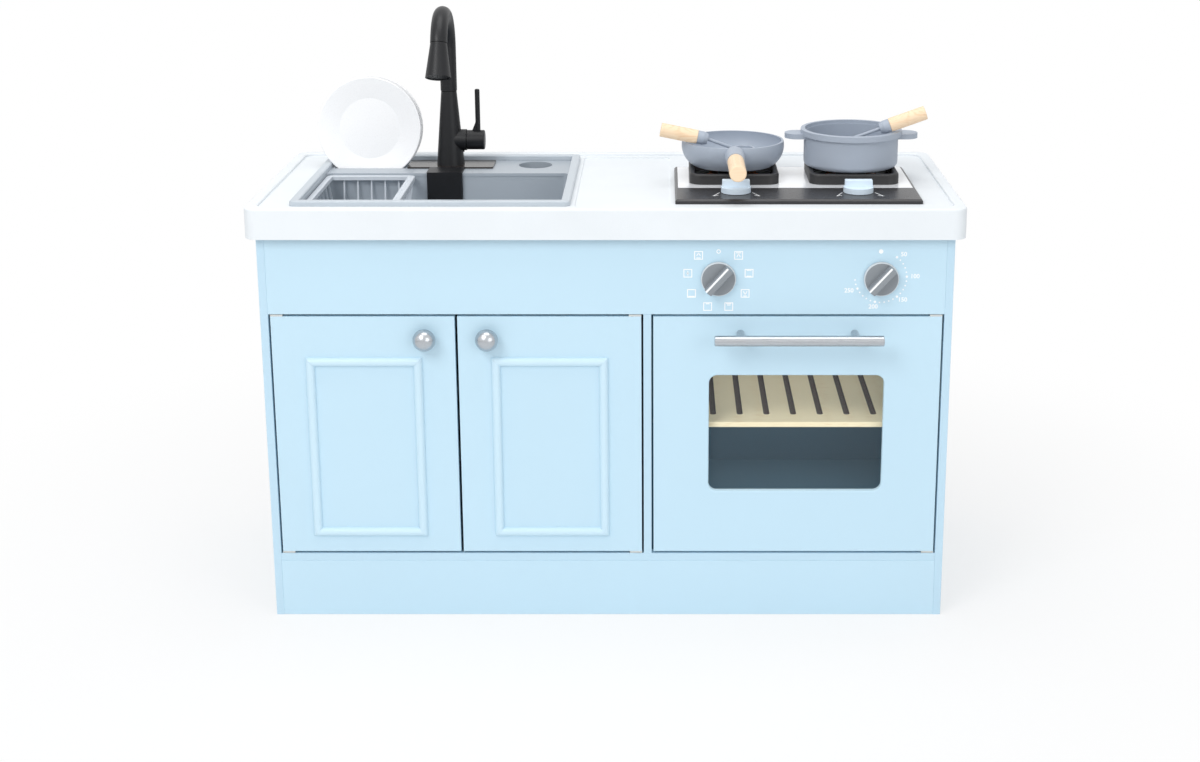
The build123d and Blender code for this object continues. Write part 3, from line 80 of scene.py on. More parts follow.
class MaterialTree:
    """A material's node tree, with short calls for the nodes that the finishes share."""

    # A noise texture's factor stays almost wholly within these values
    NOISE_LOW = 0.3
    NOISE_HIGH = 0.7

    def __init__(self, name: str) -> None:
        """Start a material with one Principled shader.

        Args:
            name: The material's name.
        """
        self.material = bpy.data.materials.new(name)
        self.material.use_nodes = True
        self.graph = self.material.node_tree
        self.shader = self.graph.nodes["Principled BSDF"]

    def node(self, kind: str, **values: object) -> bpy.types.Node:
        """Add a node and set its properties.

        Args:
            kind: The node's type name.
            values: Property names with their values.

        Returns:
            The new node.
        """
        made = self.graph.nodes.new(kind)
        for key, value in values.items():
            setattr(made, key, value)
        return made

    def link(self, source: bpy.types.NodeSocket, target: bpy.types.NodeSocket) -> None:
        """Join an output to an input."""
        self.graph.links.new(source, target)

    def place(
        self,
        scale: Triple = (1.0, 1.0, 1.0),
        centre: Triple = (0.0, 0.0, 0.0),
        turn: Triple = (0.0, 0.0, 0.0),
    ) -> bpy.types.NodeSocket:
        """Give Object coordinates, centred, turned and stretched.

        Args:
            scale: Stretch along each axis.
            centre: The point of the piece that becomes the pattern's origin, in metres.
            turn: Euler angles in radians, applied after centring.

        Returns:
            The vector output.
        """
        coordinates = self.node("ShaderNodeTexCoord")
        centred = self.node("ShaderNodeMapping")
        centred.inputs["Location"].default_value = tuple(-c for c in centre)
        turned = self.node("ShaderNodeMapping")
        turned.inputs["Rotation"].default_value = turn
        turned.inputs["Scale"].default_value = scale
        self.link(coordinates.outputs["Object"], centred.inputs["Vector"])
        self.link(centred.outputs["Vector"], turned.inputs["Vector"])
        return turned.outputs["Vector"]

    def noise(
        self, where: bpy.types.NodeSocket, scale: float, detail: float = 2.0, rough: float = 0.5
    ) -> bpy.types.NodeSocket:
        """Add a noise texture.

        Args:
            where: The coordinates.
            scale: Its scale per metre.
            detail: Its octaves.
            rough: Its roughness.

        Returns:
            The factor output.
        """
        made = self.node("ShaderNodeTexNoise")
        made.inputs["Scale"].default_value = scale
        made.inputs["Detail"].default_value = detail
        made.inputs["Roughness"].default_value = rough
        self.link(where, made.inputs["Vector"])
        return made.outputs["Fac"]

    def ramp(
        self, factor: bpy.types.NodeSocket, stops: list[tuple[float, Colour]]
    ) -> bpy.types.NodeSocket:
        """Map a factor to colours.

        Args:
            factor: The factor.
            stops: Positions with their colours, in order.

        Returns:
            The colour output.
        """
        made = self.node("ShaderNodeValToRGB")
        points = made.color_ramp.elements
        while len(points) < len(stops):
            points.new(0.5)
        for point, (position, colour) in zip(points, stops):
            point.position = position
            point.color = (*colour, 1.0)
        self.link(factor, made.inputs["Fac"])
        return made.outputs["Color"]

    def blend(
        self, factor: bpy.types.NodeSocket, low: Colour, high: Colour
    ) -> bpy.types.NodeSocket:
        """Blend two colours by a factor."""
        return self.ramp(factor, [(0.0, low), (1.0, high)])

    def spread(
        self, factor: bpy.types.NodeSocket, low: float, high: float
    ) -> bpy.types.NodeSocket:
        """Map a noise texture's factor to a range of values.

        Args:
            factor: The factor.
            low: The value at the bottom.
            high: The value at the top.

        Returns:
            The value output.
        """
        made = self.node("ShaderNodeMapRange")
        ends = {
            "From Min": self.NOISE_LOW,
            "From Max": self.NOISE_HIGH,
            "To Min": low,
            "To Max": high,
        }
        for key, value in ends.items():
            made.inputs[key].default_value = value
        self.link(factor, made.inputs["Value"])
        return made.outputs["Result"]

    def roughness(
        self, factor: bpy.types.NodeSocket, middle: float, less: float, more: float
    ) -> None:
        """Vary the roughness by a pattern.

        Args:
            factor: The pattern.
            middle: The roughness that the finish is given.
            less: How far it goes below that.
            more: How far it goes above that.
        """
        varied = self.spread(factor, middle - less, middle + more)
        self.link(varied, self.shader.inputs["Roughness"])

    def bump(self, height: bpy.types.NodeSocket, depth: float) -> None:
        """Raise the surface by a pattern.

        Args:
            height: The pattern.
            depth: Its real depth, in metres.
        """
        made = self.node("ShaderNodeBump")
        made.inputs["Distance"].default_value = depth
        made.inputs["Strength"].default_value = 1.0
        self.link(height, made.inputs["Height"])
        self.link(made.outputs["Normal"], self.shader.inputs["Normal"])

    def larger(
        self, first: bpy.types.NodeSocket, second: bpy.types.NodeSocket
    ) -> bpy.types.NodeSocket:
        """Give the larger of two values."""
        made = self.node("ShaderNodeMath", operation="MAXIMUM")
        self.link(first, made.inputs[0])
        self.link(second, made.inputs[1])
        return made.outputs["Value"]

    def colour(
        self, source: bpy.types.NodeSocket, zone: "BoxZone | RimZone | None" = None
    ) -> None:
        """Use an output as the base colour, with a zone's colour over it.

        Args:
            source: The colour output.
            zone: Where a second colour shows.
        """
        if zone is None:
            self.link(source, self.shader.inputs["Base Color"])
            return
        over = self.node("ShaderNodeMixRGB")
        over.inputs["Color2"].default_value = (*zone.colour, 1.0)
        self.link(zone.factor(self), over.inputs["Fac"])
        self.link(source, over.inputs["Color1"])
        self.link(over.outputs["Color"], self.shader.inputs["Base Color"])

    def tones(
        self,
        factor: bpy.types.NodeSocket,
        colour: Colour,
        reach: tuple[float, float],
        zone: "BoxZone | RimZone | None" = None,
    ) -> None:
        """Colour the surface in one tone that a pattern makes darker and lighter.

        Args:
            factor: The pattern.
            colour: The tone.
            reach: The factors of its darkest and lightest shade.
            zone: Where a second colour shows.
        """
        dark, light = (scaled(colour, part) for part in reach)
        self.colour(self.blend(factor, dark, light), zone)

    def set(self, **values: float) -> None:
        """Set number sockets of the shader by name, with underscores for spaces."""
        for key, value in values.items():
            self.shader.inputs[key.replace("_", " ")].default_value = value


@dataclass(frozen=True)
class BoxZone:
    """A box of space inside which a finish takes a second colour."""

    low: Triple
    high: Triple
    colour: Colour

    def factor(self, tree: MaterialTree) -> bpy.types.NodeSocket:
        """Give 1 inside the box and 0 outside.

        Args:
            tree: The material's tree.

        Returns:
            The factor output.
        """
        low, high = Vector(self.low), Vector(self.high)
        scale = tuple(2.0 / side for side in high - low)
        middle = (low + high) / 2
        centre = tuple(c * s for c, s in zip(middle, scale))
        place = tree.node("ShaderNodeMapping")
        place.inputs["Scale"].default_value = scale
        place.inputs["Location"].default_value = tuple(-c for c in centre)
        tree.link(tree.place(), place.inputs["Vector"])
        size = tree.node("ShaderNodeVectorMath", operation="ABSOLUTE")
        parts = tree.node("ShaderNodeSeparateXYZ")
        tree.link(place.outputs["Vector"], size.inputs[0])
        tree.link(size.outputs["Vector"], parts.inputs["Vector"])
        widest = tree.larger(
            tree.larger(parts.outputs["X"], parts.outputs["Y"]), parts.outputs["Z"]
        )
        inside = tree.node("ShaderNodeMath", operation="LESS_THAN")
        inside.inputs[1].default_value = 1.0
        tree.link(widest, inside.inputs[0])
        return inside.outputs["Value"]


@dataclass(frozen=True)
class RimZone:
    """The space beyond a radius from a line along Y, where a finish takes a second colour."""

    centre: Triple
    radius: float
    colour: Colour

    def factor(self, tree: MaterialTree) -> bpy.types.NodeSocket:
        """Give 1 beyond the radius and 0 within it.

        Args:
            tree: The material's tree.

        Returns:
            The factor output.
        """
        away = tree.node("ShaderNodeVectorMath", operation="LENGTH")
        tree.link(tree.place(scale=(1.0, 0.0, 1.0), centre=self.centre), away.inputs[0])
        beyond = tree.node("ShaderNodeMath", operation="GREATER_THAN")
        beyond.inputs[1].default_value = self.radius
        tree.link(away.outputs["Value"], beyond.inputs[0])
        return beyond.outputs["Value"]


@dataclass(frozen=True)
class Paint:
    """Sprayed satin paint on board: a faint uneven tone and a very fine orange peel."""

    name: str
    colour: Colour
    roughness: float = 0.42
    peel: float = 0.00004
    peel_scale: float = 420.0
    cloud_scale: float = 5.0
    tone_reach: tuple[float, float] = (0.975, 1.02)
    gloss_reach: float = 0.05

    def material(self) -> bpy.types.Material:
        """Make the material."""
        tree = MaterialTree(self.name)
        where = tree.place()
        cloud = tree.noise(where, self.cloud_scale, detail=3.0)
        tree.tones(cloud, self.colour, self.tone_reach)
        fine = tree.noise(where, self.peel_scale, detail=3.0, rough=0.6)
        tree.roughness(fine, self.roughness, self.gloss_reach, self.gloss_reach)
        tree.bump(fine, self.peel)
        return tree.material


@dataclass(frozen=True)
class Plastic:
    """Moulded plastic: one tone, a fine spark-eroded grain and a set gloss."""

    name: str
    colour: Colour
    roughness: float = 0.4
    grain: float = 0.00003
    grain_scale: float = 1400.0
    clear_coat: float = 0.0
    coat_roughness: float = 0.08
    specular: float = 0.5
    cloud_scale: float = 14.0
    tone_reach: tuple[float, float] = (0.96, 1.04)
    gloss_reach: tuple[float, float] = (0.04, 0.06)
    zone: BoxZone | RimZone | None = None

    def material(self) -> bpy.types.Material:
        """Make the material."""
        tree = MaterialTree(self.name)
        where = tree.place()
        cloud = tree.noise(where, self.cloud_scale)
        tree.tones(cloud, self.colour, self.tone_reach, self.zone)
        fine = tree.noise(where, self.grain_scale, rough=0.7)
        tree.roughness(fine, self.roughness, *self.gloss_reach)
        tree.bump(fine, self.grain)
        tree.set(
            Coat_Weight=self.clear_coat,
            Coat_Roughness=self.coat_roughness,
            Specular_IOR_Level=self.specular,
        )
        return tree.material


@dataclass(frozen=True)
class Brushed:
    """Metal brushed along one direction: long fine scratches in tone, gloss and relief."""

    name: str
    colour: Colour
    along: Axis
    roughness: float = 0.3
    scratch_scale: float = 1800.0
    scratch_stretch: float = 0.02
    scratch_depth: float = 0.00001
    tone_reach: tuple[float, float] = (0.86, 1.1)
    gloss_reach: tuple[float, float] = (0.06, 0.08)

    def scratches(self, tree: MaterialTree) -> bpy.types.NodeSocket:
        """Give the pattern of the scratches."""
        scale = tuple(self.scratch_stretch if part else 1.0 for part in self.along.value)
        return tree.noise(tree.place(scale=scale), self.scratch_scale, rough=0.7)

    def material(self) -> bpy.types.Material:
        """Make the material."""
        tree = MaterialTree(self.name)
        scratches = self.scratches(tree)
        tree.tones(scratches, self.colour, self.tone_reach)
        tree.roughness(scratches, self.roughness, *self.gloss_reach)
        tree.bump(scratches, self.scratch_depth)
        tree.set(Metallic=1.0)
        return tree.material


@dataclass(frozen=True)
class Turned(Brushed):
    """Metal turned on a lathe: scratches that run in rings about a line along Y."""

    centre: Triple = (0.0, 0.0, 0.0)
    ring_scale: float = 520.0
    ring_waver: float = 1.2

    def scratches(self, tree: MaterialTree) -> bpy.types.NodeSocket:
        """Give the pattern of the rings."""
        rings = tree.node("ShaderNodeTexWave", wave_type="RINGS", rings_direction="Y")
        rings.inputs["Scale"].default_value = self.ring_scale
        rings.inputs["Distortion"].default_value = self.ring_waver
        tree.link(tree.place(centre=self.centre), rings.inputs["Vector"])
        return rings.outputs["Fac"]


@dataclass(frozen=True)
class Timber:
    """Turned pale wood with grain along one direction, and rings where an end is cut."""

    name: str
    light: Colour
    dark: Colour
    centre: Triple
    tilt: float = 0.0
    along: Axis = Axis.X
    zone: BoxZone | None = None
    grain_scale: float = 520.0
    grain_stretch: float = 0.07
    grain_depth: float = 0.00006
    ring_scale: float = 230.0
    ring_waver: float = 3.0
    ring_share: float = 0.35
    dark_until: float = 0.3
    light_from: float = 0.62
    roughness: float = 0.55

    def turn(self) -> Triple:
        """Give the turn that lays the pattern's X along the grain, in radians."""
        if self.along is Axis.X:
            return (0.0, math.radians(self.tilt), 0.0)
        return (0.0, 0.0, math.radians(90.0))

    def material(self) -> bpy.types.Material:
        """Make the material."""
        tree = MaterialTree(self.name)
        stretched = tree.place((self.grain_stretch, 1.0, 1.0), self.centre, self.turn())
        grain = tree.noise(stretched, self.grain_scale, detail=5.0, rough=0.65)
        rings = tree.node("ShaderNodeTexWave", wave_type="RINGS", rings_direction="X")
        rings.inputs["Scale"].default_value = self.ring_scale
        rings.inputs["Distortion"].default_value = self.ring_waver
        tree.link(stretched, rings.inputs["Vector"])
        both = tree.node("ShaderNodeMath", operation="MULTIPLY_ADD")
        both.inputs[1].default_value = self.ring_share
        tree.link(rings.outputs["Fac"], both.inputs[0])
        tree.link(grain, both.inputs[2])
        stops = [(self.dark_until, self.dark), (self.light_from, self.light)]
        tree.colour(tree.ramp(both.outputs["Value"], stops), self.zone)
        tree.bump(grain, self.grain_depth)
        tree.set(Roughness=self.roughness)
        return tree.material


@dataclass(frozen=True)
class Window:
    """A clear pane that lets the inside show and takes a faint reflection."""

    name: str
    tint: Colour
    cover: float = 0.025
    smear_scale: float = 12.0
    tone_reach: tuple[float, float] = (1.0, 1.05)
    roughness: float = 0.06
    gloss_reach: float = 0.03

    def material(self) -> bpy.types.Material:
        """Make the material."""
        tree = MaterialTree(self.name)
        smear = tree.noise(tree.place(), self.smear_scale)
        tree.tones(smear, self.tint, self.tone_reach)
        tree.roughness(smear, self.roughness, self.gloss_reach, self.gloss_reach)
        tree.set(Alpha=self.cover)
        return tree.material


# Colours of the finishes, as a plain even light shows them; the few marked below are painted light
# or shade
BLUE = srgb(196, 224, 239)
# Painted highlight: the mouldings are the cabinet's blue, made lighter to stand in for the light
# that their rounded tops catch
BLUE_MOULDING_HIGHLIGHT = srgb(204, 229, 242)
BLUE_FRAME = srgb(192, 220, 236)
WHITE_TOP = srgb(231, 235, 238)
SINK_GREY = srgb(168, 176, 184)
BASKET_GREY = srgb(204, 210, 217)
# Painted highlight: a lighter grey for the sink's rim, standing in for the light that its gloss
# reflects
SINK_RIM_HIGHLIGHT = srgb(190, 198, 205)
BLACK = srgb(20, 21, 24)
BROWN_BLACK = srgb(40, 34, 32)
PLATE_WHITE = srgb(252, 252, 253)
HOB_BLACK = srgb(42, 41, 43)
INLAY_SILVER = srgb(246, 248, 251)
KNOB_BLUE_GREY = srgb(220, 234, 246)
DIAL_GREY = srgb(138, 143, 148)
# Painted highlight: a lighter ring round each dial's chamfered edge, standing in for the light that
# the edge catches
DIAL_RIM_HIGHLIGHT = srgb(206, 212, 216)
POT_GREY = srgb(166, 175, 188)
COPPER = srgb(176, 108, 62)
STEEL = srgb(188, 191, 195)
PIVOT_METAL = srgb(214, 216, 214)
FITTING_WHITE = srgb(225, 226, 226)
PUMP_WHITE = srgb(214, 216, 218)
BACK_GREY = srgb(206, 210, 212)
GRATE_BLACK = srgb(38, 37, 38)
WINDOW_TINT = srgb(214, 226, 232)
# Painted shade: the oven's inside is light-blue board that looks dark only in shadow, and this dark
# slate paints that shade onto the liner
PAINTED_SHADE_SLATE = srgb(76, 111, 132)
BEECH_LIGHT = srgb(246, 219, 186)
BEECH_DARK = srgb(234, 196, 154)
BIRCH_LIGHT = srgb(252, 238, 200)
BIRCH_DARK = srgb(242, 222, 180)
GROOVE_BROWN = srgb(92, 72, 62)
PRINT_WHITE = srgb(250, 252, 253)


Finish = Paint | Plastic | Brushed | Timber | Window


def dress(finish: Finish, *nodes: str) -> None:
    """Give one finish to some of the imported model's nodes.

    Args:
        finish: The finish.
        nodes: The nodes' names.
    """
    material = finish.material()
    for name in nodes:
        slots = NODES[name].data.materials
        slots.clear()
        slots.append(material)
    log.info("%s on %s", finish.name, ", ".join(nodes))


def box_centre(node: str) -> Triple:
    """Give the middle of a node's box, in metres."""
    low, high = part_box(node)
    return tuple((low + high) / 2)


class Piece:
    """A new piece made of parts in one bmesh, with its place in its mesh."""

    ROUND_STEPS = 24
    FIGURE_STEPS = 3
    # A font's size is this many times the height of its figures
    FONT_SIZE = 1.42
    # The part of their height by which figures are made bolder
    FIGURE_BOLD = 0.03
    WELD = 1e-7

    def __init__(self, name: str) -> None:
        """Start an empty piece.

        Args:
            name: The piece's name.
        """
        self.name = name
        self.mesh = bmesh.new()

    def bar(
        self, start: Vector, end: Vector, width: float, thick: float, normal: Vector
    ) -> None:
        """Add a flat bar between two points.

        Args:
            start: The middle of one end, on the surface that carries it.
            end: The middle of the other end.
            width: Its width across, in metres.
            thick: How far it stands off the surface, in metres.
            normal: The surface's outward direction.
        """
        way = (end - start).normalized()
        side = normal.cross(way)
        middle = (start + end) / 2 + normal * thick / 2
        turn = Matrix((way, side, normal)).transposed().to_4x4()
        size = Matrix.Diagonal(((end - start).length, width, thick, 1.0))
        bmesh.ops.create_cube(
            self.mesh, size=1.0, matrix=Matrix.Translation(middle) @ turn @ size
        )

    def dot(self, centre: Vector, radius: float, thick: float, normal: Vector) -> None:
        """Add a round dot.

        Args:
            centre: Its middle, on the surface that carries it.
            radius: Its radius, in metres.
            thick: How far it stands off the surface, in metres.
            normal: The surface's outward direction.
        """
        turn = normal.to_track_quat("Z", "Y").to_matrix().to_4x4()
        place = Matrix.Translation(centre + normal * thick / 2) @ turn
        bmesh.ops.create_cone(
            self.mesh,
            cap_ends=True,
            segments=self.ROUND_STEPS,
            radius1=radius,
            radius2=radius,
            depth=thick,
            matrix=place,
        )

    def ring(
        self, centre: Vector, inner: float, outer: float, thick: float, normal: Vector
    ) -> None:
        """Add a flat ring.

        Args:
            centre: Its middle, on the surface that carries it.
            inner: Its inner radius, in metres.
            outer: Its outer radius, in metres.
            thick: How far it stands off the surface, in metres.
            normal: The surface's outward direction.
        """
        turn = normal.to_track_quat("Z", "Y").to_matrix().to_4x4()
        place = Matrix.Translation(centre) @ turn
        section = [
            self.mesh.verts.new(place @ Vector(point))
            for point in ((inner, 0, 0), (outer, 0, 0), (outer, 0, thick), (inner, 0, thick))
        ]
        face = self.mesh.faces.new(section)
        bmesh.ops.spin(
            self.mesh,
            geom=[face, *face.edges, *face.verts],
            cent=centre,
            axis=normal,
            angle=math.tau,
            steps=self.ROUND_STEPS,
            use_merge=True,
            use_duplicate=False,
        )
        # The section that was spun is left inside the ring
        bmesh.ops.delete(self.mesh, geom=[face], context="FACES_ONLY")

    def words(self, text: str, centre: Vector, height: float, thick: float) -> None:
        """Add figures that face the front.

        Args:
            text: The figures.
            centre: Their middle, on the surface that carries them.
            height: Their height, in metres.
            thick: How far they stand off the surface, in metres.
        """
        curve = bpy.data.curves.new(f"figures_{text}", "FONT")
        curve.body = text
        curve.size = height * self.FONT_SIZE
        curve.align_x = "CENTER"
        curve.align_y = "CENTER"
        curve.extrude = thick / 2
        curve.offset = height * self.FIGURE_BOLD
        curve.resolution_u = self.FIGURE_STEPS
        holder = bpy.data.objects.new(curve.name, curve)
        bpy.context.scene.collection.objects.link(holder)
        shape = bpy.data.meshes.new_from_object(holder)
        shape.transform(
            Matrix.Translation(centre + Vector((0, -thick / 2, 0)))
            @ Matrix.Rotation(math.radians(90.0), 4, "X")
        )
        self.mesh.from_mesh(shape)
        bpy.data.objects.remove(holder)
        bpy.data.curves.remove(curve)
        bpy.data.meshes.remove(shape)

    def build(self, material: bpy.types.Material, body: str) -> None:
        """Close the mesh into an object that rides on a body.

        Args:
            material: Its material.
            body: The body that carries it.
        """
        bmesh.ops.remove_doubles(self.mesh, verts=self.mesh.verts, dist=self.WELD)
        bmesh.ops.recalc_face_normals(self.mesh, faces=self.mesh.faces)
        data = bpy.data.meshes.new(self.name)
        self.mesh.to_mesh(data)
        self.mesh.free()
        data.materials.append(material)
        made = bpy.data.objects.new(self.name, data)
        bpy.context.scene.collection.objects.link(made)
        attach(made, body)
        log.info("made %s with %d faces", self.name, len(data.polygons))


class OvenMode(Enum):
    """The symbols round the left dial, as bars from corner to corner of a unit square."""

    FAN_TOP = (((0.2, 0.8), (0.8, 0.8)), ((0.5, 0.7), (0.3, 0.3)), ((0.5, 0.7), (0.7, 0.3)))
    TOP_AND_BOTTOM = (((0.22, 0.84), (0.78, 0.84)), ((0.22, 0.16), (0.78, 0.16)))
    FAN_GRILL = (((0.3, 0.75), (0.5, 0.35)), ((0.7, 0.75), (0.5, 0.35)), ((0.3, 0.2), (0.7, 0.2)))
    TOP_DOUBLE = (((0.22, 0.84), (0.78, 0.84)), ((0.3, 0.68), (0.7, 0.68)))
    TOP = (((0.3, 0.82), (0.7, 0.82)),)
    BOTTOM = (((0.15, 0.16), (0.85, 0.16)),)
    LAMP = (((0.5, 0.75), (0.5, 0.25)), ((0.35, 0.5), (0.65, 0.5)))
    DEFROST = (((0.5, 0.78), (0.28, 0.45)), ((0.5, 0.78), (0.72, 0.45)), ((0.25, 0.2), (0.75, 0.2)))


@dataclass
class FasciaPrint:
    """The white marks printed on the fascia round its two dials, in metres and degrees."""

    face_y: float
    mode_centre: Triple
    heat_centre: Triple
    thick: float = 0.00006
    symbol_size: float = 0.0098
    symbol_line: float = 0.001
    symbol_radius: float = 0.0346
    symbol_step: float = 40.0
    off_ring_rise: float = 0.031
    off_ring_inner: float = 0.0015
    off_ring_outer: float = 0.0025
    heat_offset: tuple[float, float] = (-0.0004, 0.0012)
    heat_radius: float = 0.0289
    first_angle: float = 36.5
    angle_step: float = 10.35
    dots: int = 23
    dot_radius: float = 0.0009
    strong_dot_radius: float = 0.0014
    strong_dot_every: int = 5
    off_dot_offset: tuple[float, float] = (-0.001, 0.031)
    off_dot_radius: float = 0.0025
    figures_height: float = 0.0049
    # Where each figure stands from the dial's centre, across and up
    figures: dict[str, tuple[float, float]] = field(
        default_factory=lambda: {
            "50": (0.0244, 0.0277),
            "100": (0.0376, 0.0024),
            "150": (0.0246, -0.0246),
            "200": (-0.0081, -0.0327),
            "250": (-0.0356, -0.0140),
        }
    )

    def at(self, centre: Triple, across: float, up: float) -> Vector:
        """Give a point of the fascia's face by its distances from a dial's centre."""
        return Vector((centre[0] + across, self.face_y, centre[2] + up))

    def round_dial(
        self, centre: Triple, radius: float, angle: float, offset: tuple[float, float] = (0.0, 0.0)
    ) -> Vector:
        """Give a point of the fascia's face on a circle about a dial.

        Args:
            centre: The dial's centre.
            radius: The circle's radius.
            angle: The point's angle from the top, clockwise, in degrees.
            offset: How far the circle's middle is from the dial's, across and up.

        Returns:
            The point.
        """
        turn = math.radians(angle)
        across = offset[0] + radius * math.sin(turn)
        up = offset[1] + radius * math.cos(turn)
        return self.at(centre, across, up)

    def symbol(self, piece: Piece, middle: Vector, mode: OvenMode) -> None:
        """Add one oven symbol in its square outline.

        Args:
            piece: The piece it joins.
            middle: The middle of the square.
            mode: Which symbol.
        """
        reach = self.symbol_line / 2
        half = self.symbol_size / 2 - reach
        signs = ((-1, -1), (1, -1), (1, 1), (-1, 1))
        corners = [middle + Vector((i * half, 0, k * half)) for i, k in signs]
        for corner, following in zip(corners, corners[1:] + corners[:1]):
            way = (following - corner).normalized() * reach
            piece.bar(corner + way, following + way, self.symbol_line, self.thick, FRONT)
        side = self.symbol_size
        low = middle - Vector((side / 2, 0, side / 2))
        for (a, b), (c, d) in mode.value:
            start = low + Vector((a * side, 0, b * side))
            end = low + Vector((c * side, 0, d * side))
            piece.bar(start, end, self.symbol_line, self.thick, FRONT)

    def make_symbols(self, material: bpy.types.Material) -> None:
        """Make the left dial's symbols, with a small ring at its off position."""
        piece = Piece("fascia_symbols")
        piece.ring(
            self.at(self.mode_centre, 0.0, self.off_ring_rise),
            self.off_ring_inner,
            self.off_ring_outer,
            self.thick,
            FRONT,
        )
        for index, mode in enumerate(OvenMode, start=1):
            angle = self.symbol_step * index
            self.symbol(piece, self.round_dial(self.mode_centre, self.symbol_radius, angle), mode)
        piece.build(material, "cabinet")

    def make_heat_scale(self, material: bpy.types.Material) -> None:
        """Make the right dial's dots and figures, with a large dot at its off position."""
        piece = Piece("fascia_heat_scale")
        off = self.at(self.heat_centre, *self.off_dot_offset)
        piece.dot(off, self.off_dot_radius, self.thick, FRONT)
        for index in range(self.dots):
            angle = self.first_angle + self.angle_step * index
            place = self.round_dial(self.heat_centre, self.heat_radius, angle, self.heat_offset)
            strong = index % self.strong_dot_every == 0
            radius = self.strong_dot_radius if strong else self.dot_radius
            piece.dot(place, radius, self.thick, FRONT)
        for text, offset in self.figures.items():
            place = self.at(self.heat_centre, *offset)
            piece.words(text, place, self.figures_height, self.thick)
        piece.build(material, "cabinet")


@dataclass
class DialPointer:
    """The white line along the upper edge of a fascia dial's grip."""

    body: str
    centre: Triple
    front: float
    turn: float = 42.0
    offset: float = 0.0026
    half_length: float = 0.018
    width: float = 0.0022
    thick: float = 0.00008

    def make(self, material: bpy.types.Material) -> None:
        """Make the line.

        Args:
            material: Its material.
        """
        angle = math.radians(self.turn)
        along = Vector((math.sin(angle), 0, math.cos(angle)))
        across = Vector((-math.cos(angle), 0, math.sin(angle)))
        reach = along * self.half_length
        middle = Vector((self.centre[0], self.front, self.centre[2])) + across * self.offset
        piece = Piece(f"{self.body}_line")
        piece.bar(middle - reach, middle + reach, self.width, self.thick, FRONT)
        piece.build(material, self.body)


@dataclass
class HobMarks:
    """The short white marks that flare out beside each hob knob."""

    top_z: float
    knobs: tuple[Triple, Triple]
    tip: tuple[float, float] = (0.0265, -0.021)
    roots: tuple[tuple[float, float], ...] = ((0.0186, -0.003), (0.0202, -0.0165))
    thick: float = 0.00008
    width: float = 0.0009

    def at(self, knob: Triple, side: int, offset: tuple[float, float]) -> Vector:
        """Give a point beside a knob, on its left for -1 and on its right for 1."""
        return Vector((knob[0] + side * offset[0], knob[1] + offset[1], self.top_z))

    def make(self, material: bpy.types.Material) -> None:
        """Make the marks of both knobs.

        Args:
            material: Their material.
        """
        piece = Piece("hob_marks")
        for knob in self.knobs:
            for side in (-1, 1):
                tip = self.at(knob, side, self.tip)
                for root in self.roots:
                    piece.bar(self.at(knob, side, root), tip, self.width, self.thick, UP)
        piece.build(material, "cabinet")


@dataclass(frozen=True)
class Floor:
    """A white floor that is lit evenly and keeps the kitchen's shadow."""

    half_size: float = 14.0
    back: float = 4.0
    grey: float = 0.86
    roughness: float = 0.9
    specular: float = 0.1
    # The camera sees this much of plain white near the kitchen and at the far distance
    near_white: float = 0.62
    far_white: float = 1.0
    near: float = 0.3
    far: float = 1.1

    def material(self) -> bpy.types.Material:
        """Make a matt white that fades to plain white away from the kitchen."""
        tree = MaterialTree("floor_white")
        tree.shader.inputs["Base Color"].default_value = (self.grey, self.grey, self.grey, 1.0)
        tree.set(Roughness=self.roughness, Specular_IOR_Level=self.specular)
        rays = tree.node("ShaderNodeLightPath")
        white = tree.node("ShaderNodeEmission")
        away = tree.node("ShaderNodeVectorMath", operation="LENGTH")
        fade = tree.node("ShaderNodeMapRange", interpolation_type="SMOOTHSTEP")
        ends = {
            "From Min": self.near,
            "From Max": self.far,
            "To Min": self.near_white,
            "To Max": self.far_white,
        }
        for key, value in ends.items():
            fade.inputs[key].default_value = value
        seen = tree.node("ShaderNodeMath", operation="MULTIPLY")
        chosen = tree.node("ShaderNodeMixShader")
        tree.link(tree.place(), away.inputs[0])
        tree.link(away.outputs["Value"], fade.inputs["Value"])
        tree.link(fade.outputs["Result"], seen.inputs[0])
        tree.link(rays.outputs["Is Camera Ray"], seen.inputs[1])
        tree.link(seen.outputs["Value"], chosen.inputs["Fac"])
        tree.link(tree.shader.outputs["BSDF"], chosen.inputs[1])
        tree.link(white.outputs["Emission"], chosen.inputs[2])
        output = tree.graph.nodes["Material Output"]
        tree.link(chosen.outputs["Shader"], output.inputs["Surface"])
        return tree.material

    def lay(self) -> None:
        """Lay the floor."""
        mesh = bmesh.new()
        bmesh.ops.create_grid(mesh, x_segments=1, y_segments=1, size=self.half_size)
        data = bpy.data.meshes.new("studio_floor")
        mesh.to_mesh(data)
        mesh.free()
        data.transform(Matrix.Translation((0.0, self.back, 0.0)))
        data.materials.append(self.material())
        ground = bpy.data.objects.new("studio_floor", data)
        bpy.context.scene.collection.objects.link(ground)


